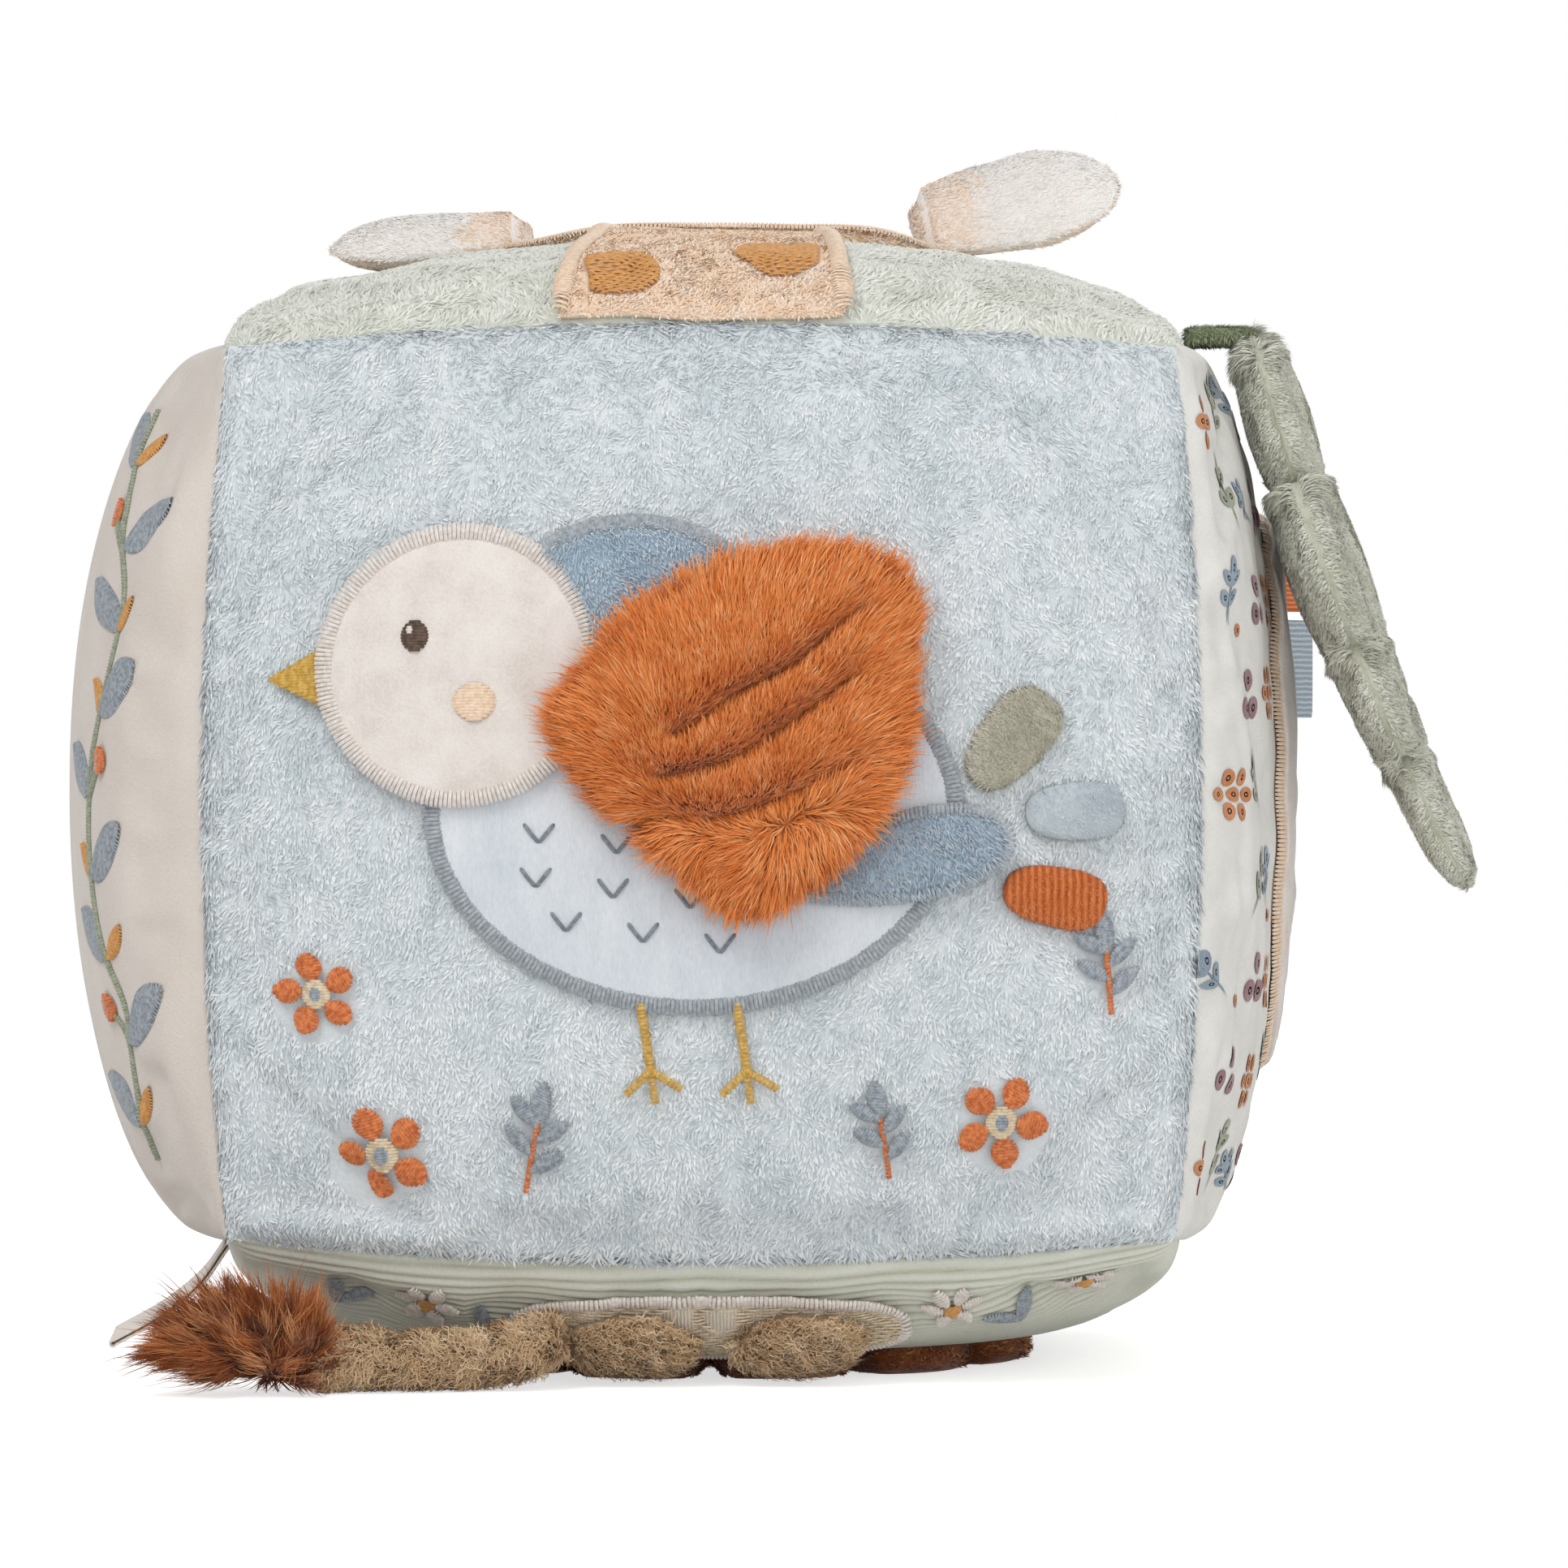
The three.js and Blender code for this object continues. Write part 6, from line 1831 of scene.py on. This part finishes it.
def above_table(at, normal):
    """Keeps pile off what lies on the table."""
    return at[:, 2] > LOWEST_ROOT


coat("tail_tube_curls", tail_ground, tail_flow, "curly_pile", steps=5,
     wave=0.35, shade_size=3.2, shade_spread=0.12, stray=0.6, keep=above_table)

tuft_share = np.linspace(0, 1, 30)
tuft_half = np.interp(tuft_share, np.linspace(0, 1, len(TUFT_SHARES)), TUFT_SHARES) * TUFT_GROUND[1]
tuft_out = 2 * SEAM_GAP + TUFT_LENGTH * TUFT_GROUND[0] * tuft_share
tuft_route = np.array([*TAIL_TIP, tail_height]) + tail_way * tuft_out[:, None]
tuft_route[:, 2] += (TUFT_HEIGHT / 2 + TAIL_CLEAR - tail_height) * np.clip((2 * tuft_share) ** 2, 0, 1)
tuft_rings = form_rings(tuft_route, TUFT_WIDTH / 2 * tuft_half, TUFT_HEIGHT / 2 * tuft_half, sideways, 40)
tuft_ground = add_piece("tail_tuft_ground", ring_stack("tail_tuft", tuft_rings), "brown_fur_ground", "tail",
                        "tail_tuft")

# Each lock of the tuft draws its hairs together at one tip
LOCK_REACH, LOCK_BOW, LOCK_BACK = (5.5, 11.0), 22, -2.0     # BACK: how far a lock reaches behind the tuft's root
LOCKS_PER_MM2, HAIRS_PER_MM2, HAIR_WIDTH = 0.36, 44, 0.2
LOOSE_HAIRS, LOOSE_SPREAD, HELD_SPREAD = 0.35, 1.7, 0.6     # a share of the hairs strays further from its lock
lock_roots = spots_on(tuft_ground, LOCKS_PER_MM2)[0]
locks = len(lock_roots)
tuft_heart = tuft_route[len(tuft_route) // 3] - np.array([0, 0, 2.5])
lock_ways = unit(unit(lock_roots - tuft_heart) + 0.45 * tail_way + np.array([0, 0, 0.25])
                 + 0.34 * chance.normal(0, 1, (locks, 3)))
lock_tips = lock_roots + lock_ways * chance.uniform(*LOCK_REACH, (locks, 1))
behind = np.minimum((lock_tips - tuft_route[0]) @ tail_way - LOCK_BACK, 0)
lock_tips -= behind[:, None] * tail_way
lock_tips[:, 2] = np.maximum(lock_tips[:, 2], 1.0)
lock_axes = chance.normal(0, 1, (locks, 3))
lock_shades = 0.5 + 0.2 * chance.normal(0, 1, locks)
hair_roots, hair_normals = spots_on(tuft_ground, HAIRS_PER_MM2, above_table)
lock_of = np.argmin(((hair_roots[:, None] - lock_roots[None]) ** 2).sum(-1), axis=1)
loose = np.where(chance.uniform(0, 1, (len(hair_roots), 1)) < LOOSE_HAIRS, LOOSE_SPREAD, HELD_SPREAD)
reach = lock_tips[lock_of] - hair_roots + loose * chance.normal(0, 1, hair_roots.shape)
hair_length = np.linalg.norm(reach, axis=1) * chance.uniform(0.72, 1.12, len(reach))
hair_bow = unit(np.cross(reach, lock_axes[lock_of] + 0.5 * chance.normal(0, 1, reach.shape)))
hair_shades = lock_shades[lock_of] + 0.14 * chance.normal(0, 1, len(reach))
tuft_hairs = pile_mesh("tail_tuft_fur", hair_roots - hair_normals * ROOT_SINK, unit(reach), hair_bow, hair_length,
                       HAIR_WIDTH, (-LOCK_BOW, LOCK_BOW), hair_shades, 4)
add_piece("tail_tuft_fur", tuft_hairs, "brown_fur", "tail")

# The blank satin tag in the lower left seam, folded on itself
SEAM_TAG_WIDTH, SEAM_TAG_THICKNESS, SEAM_TAG_PLACE = 14, 1.2, -24
SEAM_TAG_LOOP, SEAM_TAG_CLOTH = 0.7, 0.6
SEAM_TAG_TWIST = 7              # degrees, front edge down
SEAM_TAG_ROUTE = [(0, 0), (-4.2, -5.8), (-10.2, -10.8), (-18.0, -15.2)]      # outwards and upwards of its root
lower_seam = panel_point(PANELS["left"], np.array([-SEAM_TAG_PLACE / HALF[1]]), np.array([-1.0]))[0]
tag_root = lower_seam + unit(np.array([-1.0, 0, -1.0])) * (SEAM_TAG_THICKNESS / 2 + SEAM_GAP)
tag_route = [tag_root + np.array([out, 0, up]) for out, up in SEAM_TAG_ROUTE]
tag_loop = folded_loop("seam_tag", tag_route, np.array([0, *heading(SEAM_TAG_TWIST)]), SEAM_TAG_WIDTH,
                       SEAM_TAG_LOOP, SEAM_TAG_CLOTH)
add_piece("seam_tag_satin", tag_loop, "satin", "satin_tag", "seam_tag")

# Left side: an embroidered vine that climbs beside the front seam
VINE_AT, VINE_SWAY, VINE_FROM, VINE_TO = 56.0, 4.5, -58.0, 60.0
VINE_LEAF, VINE_PITCH, VINE_LIFT = (15.0, 7.0), 13.0, 0.1
VINE_WAVE, BERRY_RADIUS = 70, 2.2


def vine_at(height):
    """How far the vine stands from the panel's middle at a height."""
    return VINE_AT + VINE_SWAY * np.sin((np.asarray(height) - VINE_FROM) * 2 * np.pi / VINE_WAVE)


vine_heights = np.linspace(VINE_FROM, VINE_TO, 60)
vine_stem, vine_leaves, vine_blades = (Sewing("left", VINE_LIFT) for _ in range(3))
berries = Sewing("left", VINE_LIFT + 0.25)
vine_stem.line(np.stack([vine_at(vine_heights), vine_heights], -1), 1.2)
for k, height in enumerate(np.arange(VINE_FROM + 5, VINE_TO, VINE_PITCH)):
    hand = 1 if k % 2 else -1
    root = np.array([vine_at(height), height])
    way = unit(np.array([hand * 0.82, 0.58]))
    vine_leaves.blade(root + way, root + way * VINE_LEAF[0], VINE_LEAF[1])
    other = unit(np.array([-hand * 0.7, 0.72]))
    if k % 3 == 1:
        vine_stem.line([root, root + other * 6.5], 0.9)
        berries.disc(root + other * 8.5, BERRY_RADIUS, BERRY_RADIUS)
    else:
        vine_blades.blade(root + other, root + other * VINE_LEAF[0] * 0.55, VINE_LEAF[1] * 0.42)
vine_stem.make("vine_stem_stitching", "sage_thread", "block", "cream_velour")
vine_leaves.make("vine_leaf_stitching", "slate_thread", "block", "cream_velour")
vine_blades.make("vine_blade_stitching", "ochre_thread", "block", "cream_velour")
berries.make("vine_berry_stitching", "orange_thread", "block", "cream_velour")

# Underside: small blossoms and leaf pairs along the front of the corduroy
SMALL_BLOSSOMS = [((-44.0, 68.5), 5.2), ((40.0, 69.0), 4.8), ((61.0, 67.5), 5.0)]
SMALL_LEAVES = [((-34.0, 64.0), 70.0), ((50.0, 61.0), 110.0), ((-58.0, 62.0), 60.0)]
ON_WALES = 0.6

small_petals, small_hearts, small_leaves = (
    Sewing("bottom", lift) for lift in (ON_WALES, ON_WALES + 0.2, ON_WALES))
for place, radius in SMALL_BLOSSOMS:
    for turn in range(0, 360, 60):
        way = heading(turn)
        small_petals.blade(np.array(place) + way * radius * 0.3, np.array(place) + way * radius, radius * 0.5,
                           blunt=0.5, slant=0.1)
    small_hearts.disc(place, radius * 0.3, radius * 0.3, 0.4)
for place, turn in SMALL_LEAVES:
    for lean in (-38, 38):
        small_leaves.blade(place, place + heading(turn + lean) * 6.5, 2.6)
small_petals.make("small_blossom_stitching", "cream_thread", "block", "sage_corduroy")
small_hearts.make("small_heart_stitching", "ochre_thread", "block", "sage_corduroy")
small_leaves.make("small_leaf_stitching", "slate_thread", "block", "sage_corduroy")

# Inside: batting round a pocket, a wad that closes the pocket, and the rattle with its beads
BATTING_INSET, BATTING_CELLS, BATTING_LUMP = 4.6, 48, 0.7
POCKET_RADIUS, POCKET_TOP = 17.6, 109.1
WAD_RADIUS, WAD_ENDS = 16.6, (7.4, 73.2)


def batting_mesh(name):
    """The cover's shape drawn in by its cloth, in loose lumps."""
    ticks = np.linspace(-1, 1, BATTING_CELLS + 1)
    u, v = np.meshgrid(ticks, ticks)
    points = np.concatenate([panel_point(panel, u, v, BATTING_INSET).reshape(-1, 3) for panel in PANELS.values()])
    quads = np.concatenate([grid_quads(BATTING_CELLS + 1, BATTING_CELLS + 1, first=k * u.size) for k in range(6)])
    _, first, same = np.unique(np.round(points, 2) + 0.0, axis=0, return_index=True, return_inverse=True)
    points, quads = points[first], same.ravel()[quads]
    inward = unit(points - np.array([0, 0, MIDDLE]))
    lumps = np.abs(smooth_noise(points, 9, 101)) + 0.5 * np.abs(smooth_noise(points, 4, 102))
    return make_mesh(name, points - inward * BATTING_LUMP * lumps[:, None], quads)


def bored(mesh, radius, low, high):
    """The mesh with an upright round hole cut in it."""
    turn = 2 * np.pi * np.arange(64) / 64
    rim = np.stack([radius * np.cos(turn), radius * np.sin(turn), np.zeros(64)], -1)
    drill = bpy.data.objects.new("drill", ring_stack("drill", np.stack([rim + (0, 0, low), rim + (0, 0, high)])))
    piece = bpy.data.objects.new("bored", mesh)
    for each in (drill, piece):
        bpy.context.scene.collection.objects.link(each)
    cut = piece.modifiers.new("cut", "BOOLEAN")
    cut.operation, cut.object, cut.solver = "DIFFERENCE", drill, "EXACT"
    made = bpy.data.meshes.new_from_object(piece.evaluated_get(bpy.context.evaluated_depsgraph_get()))
    for each in (drill, piece):
        bpy.data.objects.remove(each)
    made.materials.clear()
    return made


add_piece("filling_batting", bored(batting_mesh("filling_core"), POCKET_RADIUS, -REST_RISE, POCKET_TOP),
          "filling", "block", "filling_core")

wad_share = np.linspace(0, 1, 40)
wad_radius = WAD_RADIUS * (1 - np.abs(2 * wad_share - 1) ** 8 * 0.35)
wad_route = np.interp(wad_share, (0, 1), WAD_ENDS)[:, None] * np.array([0, 0, 1.0])
wad_rings = form_rings(wad_route, wad_radius, wad_radius, sideways, 72)
wad_rings -= unit(wad_rings - wad_route[:, None]) * 0.6 * np.abs(smooth_noise(wad_rings, 6, 103))[..., None]
add_piece("filling_wad", ring_stack("filling_plug", wad_rings), "filling", "block", "filling_plug")

for node, piece in frame["nodes"].items():
    if node.startswith("rattle"):
        for slot in piece.material_slots:
            slot.material = own_materials["bead_plastic" if "bead" in node else "rattle_plastic"]
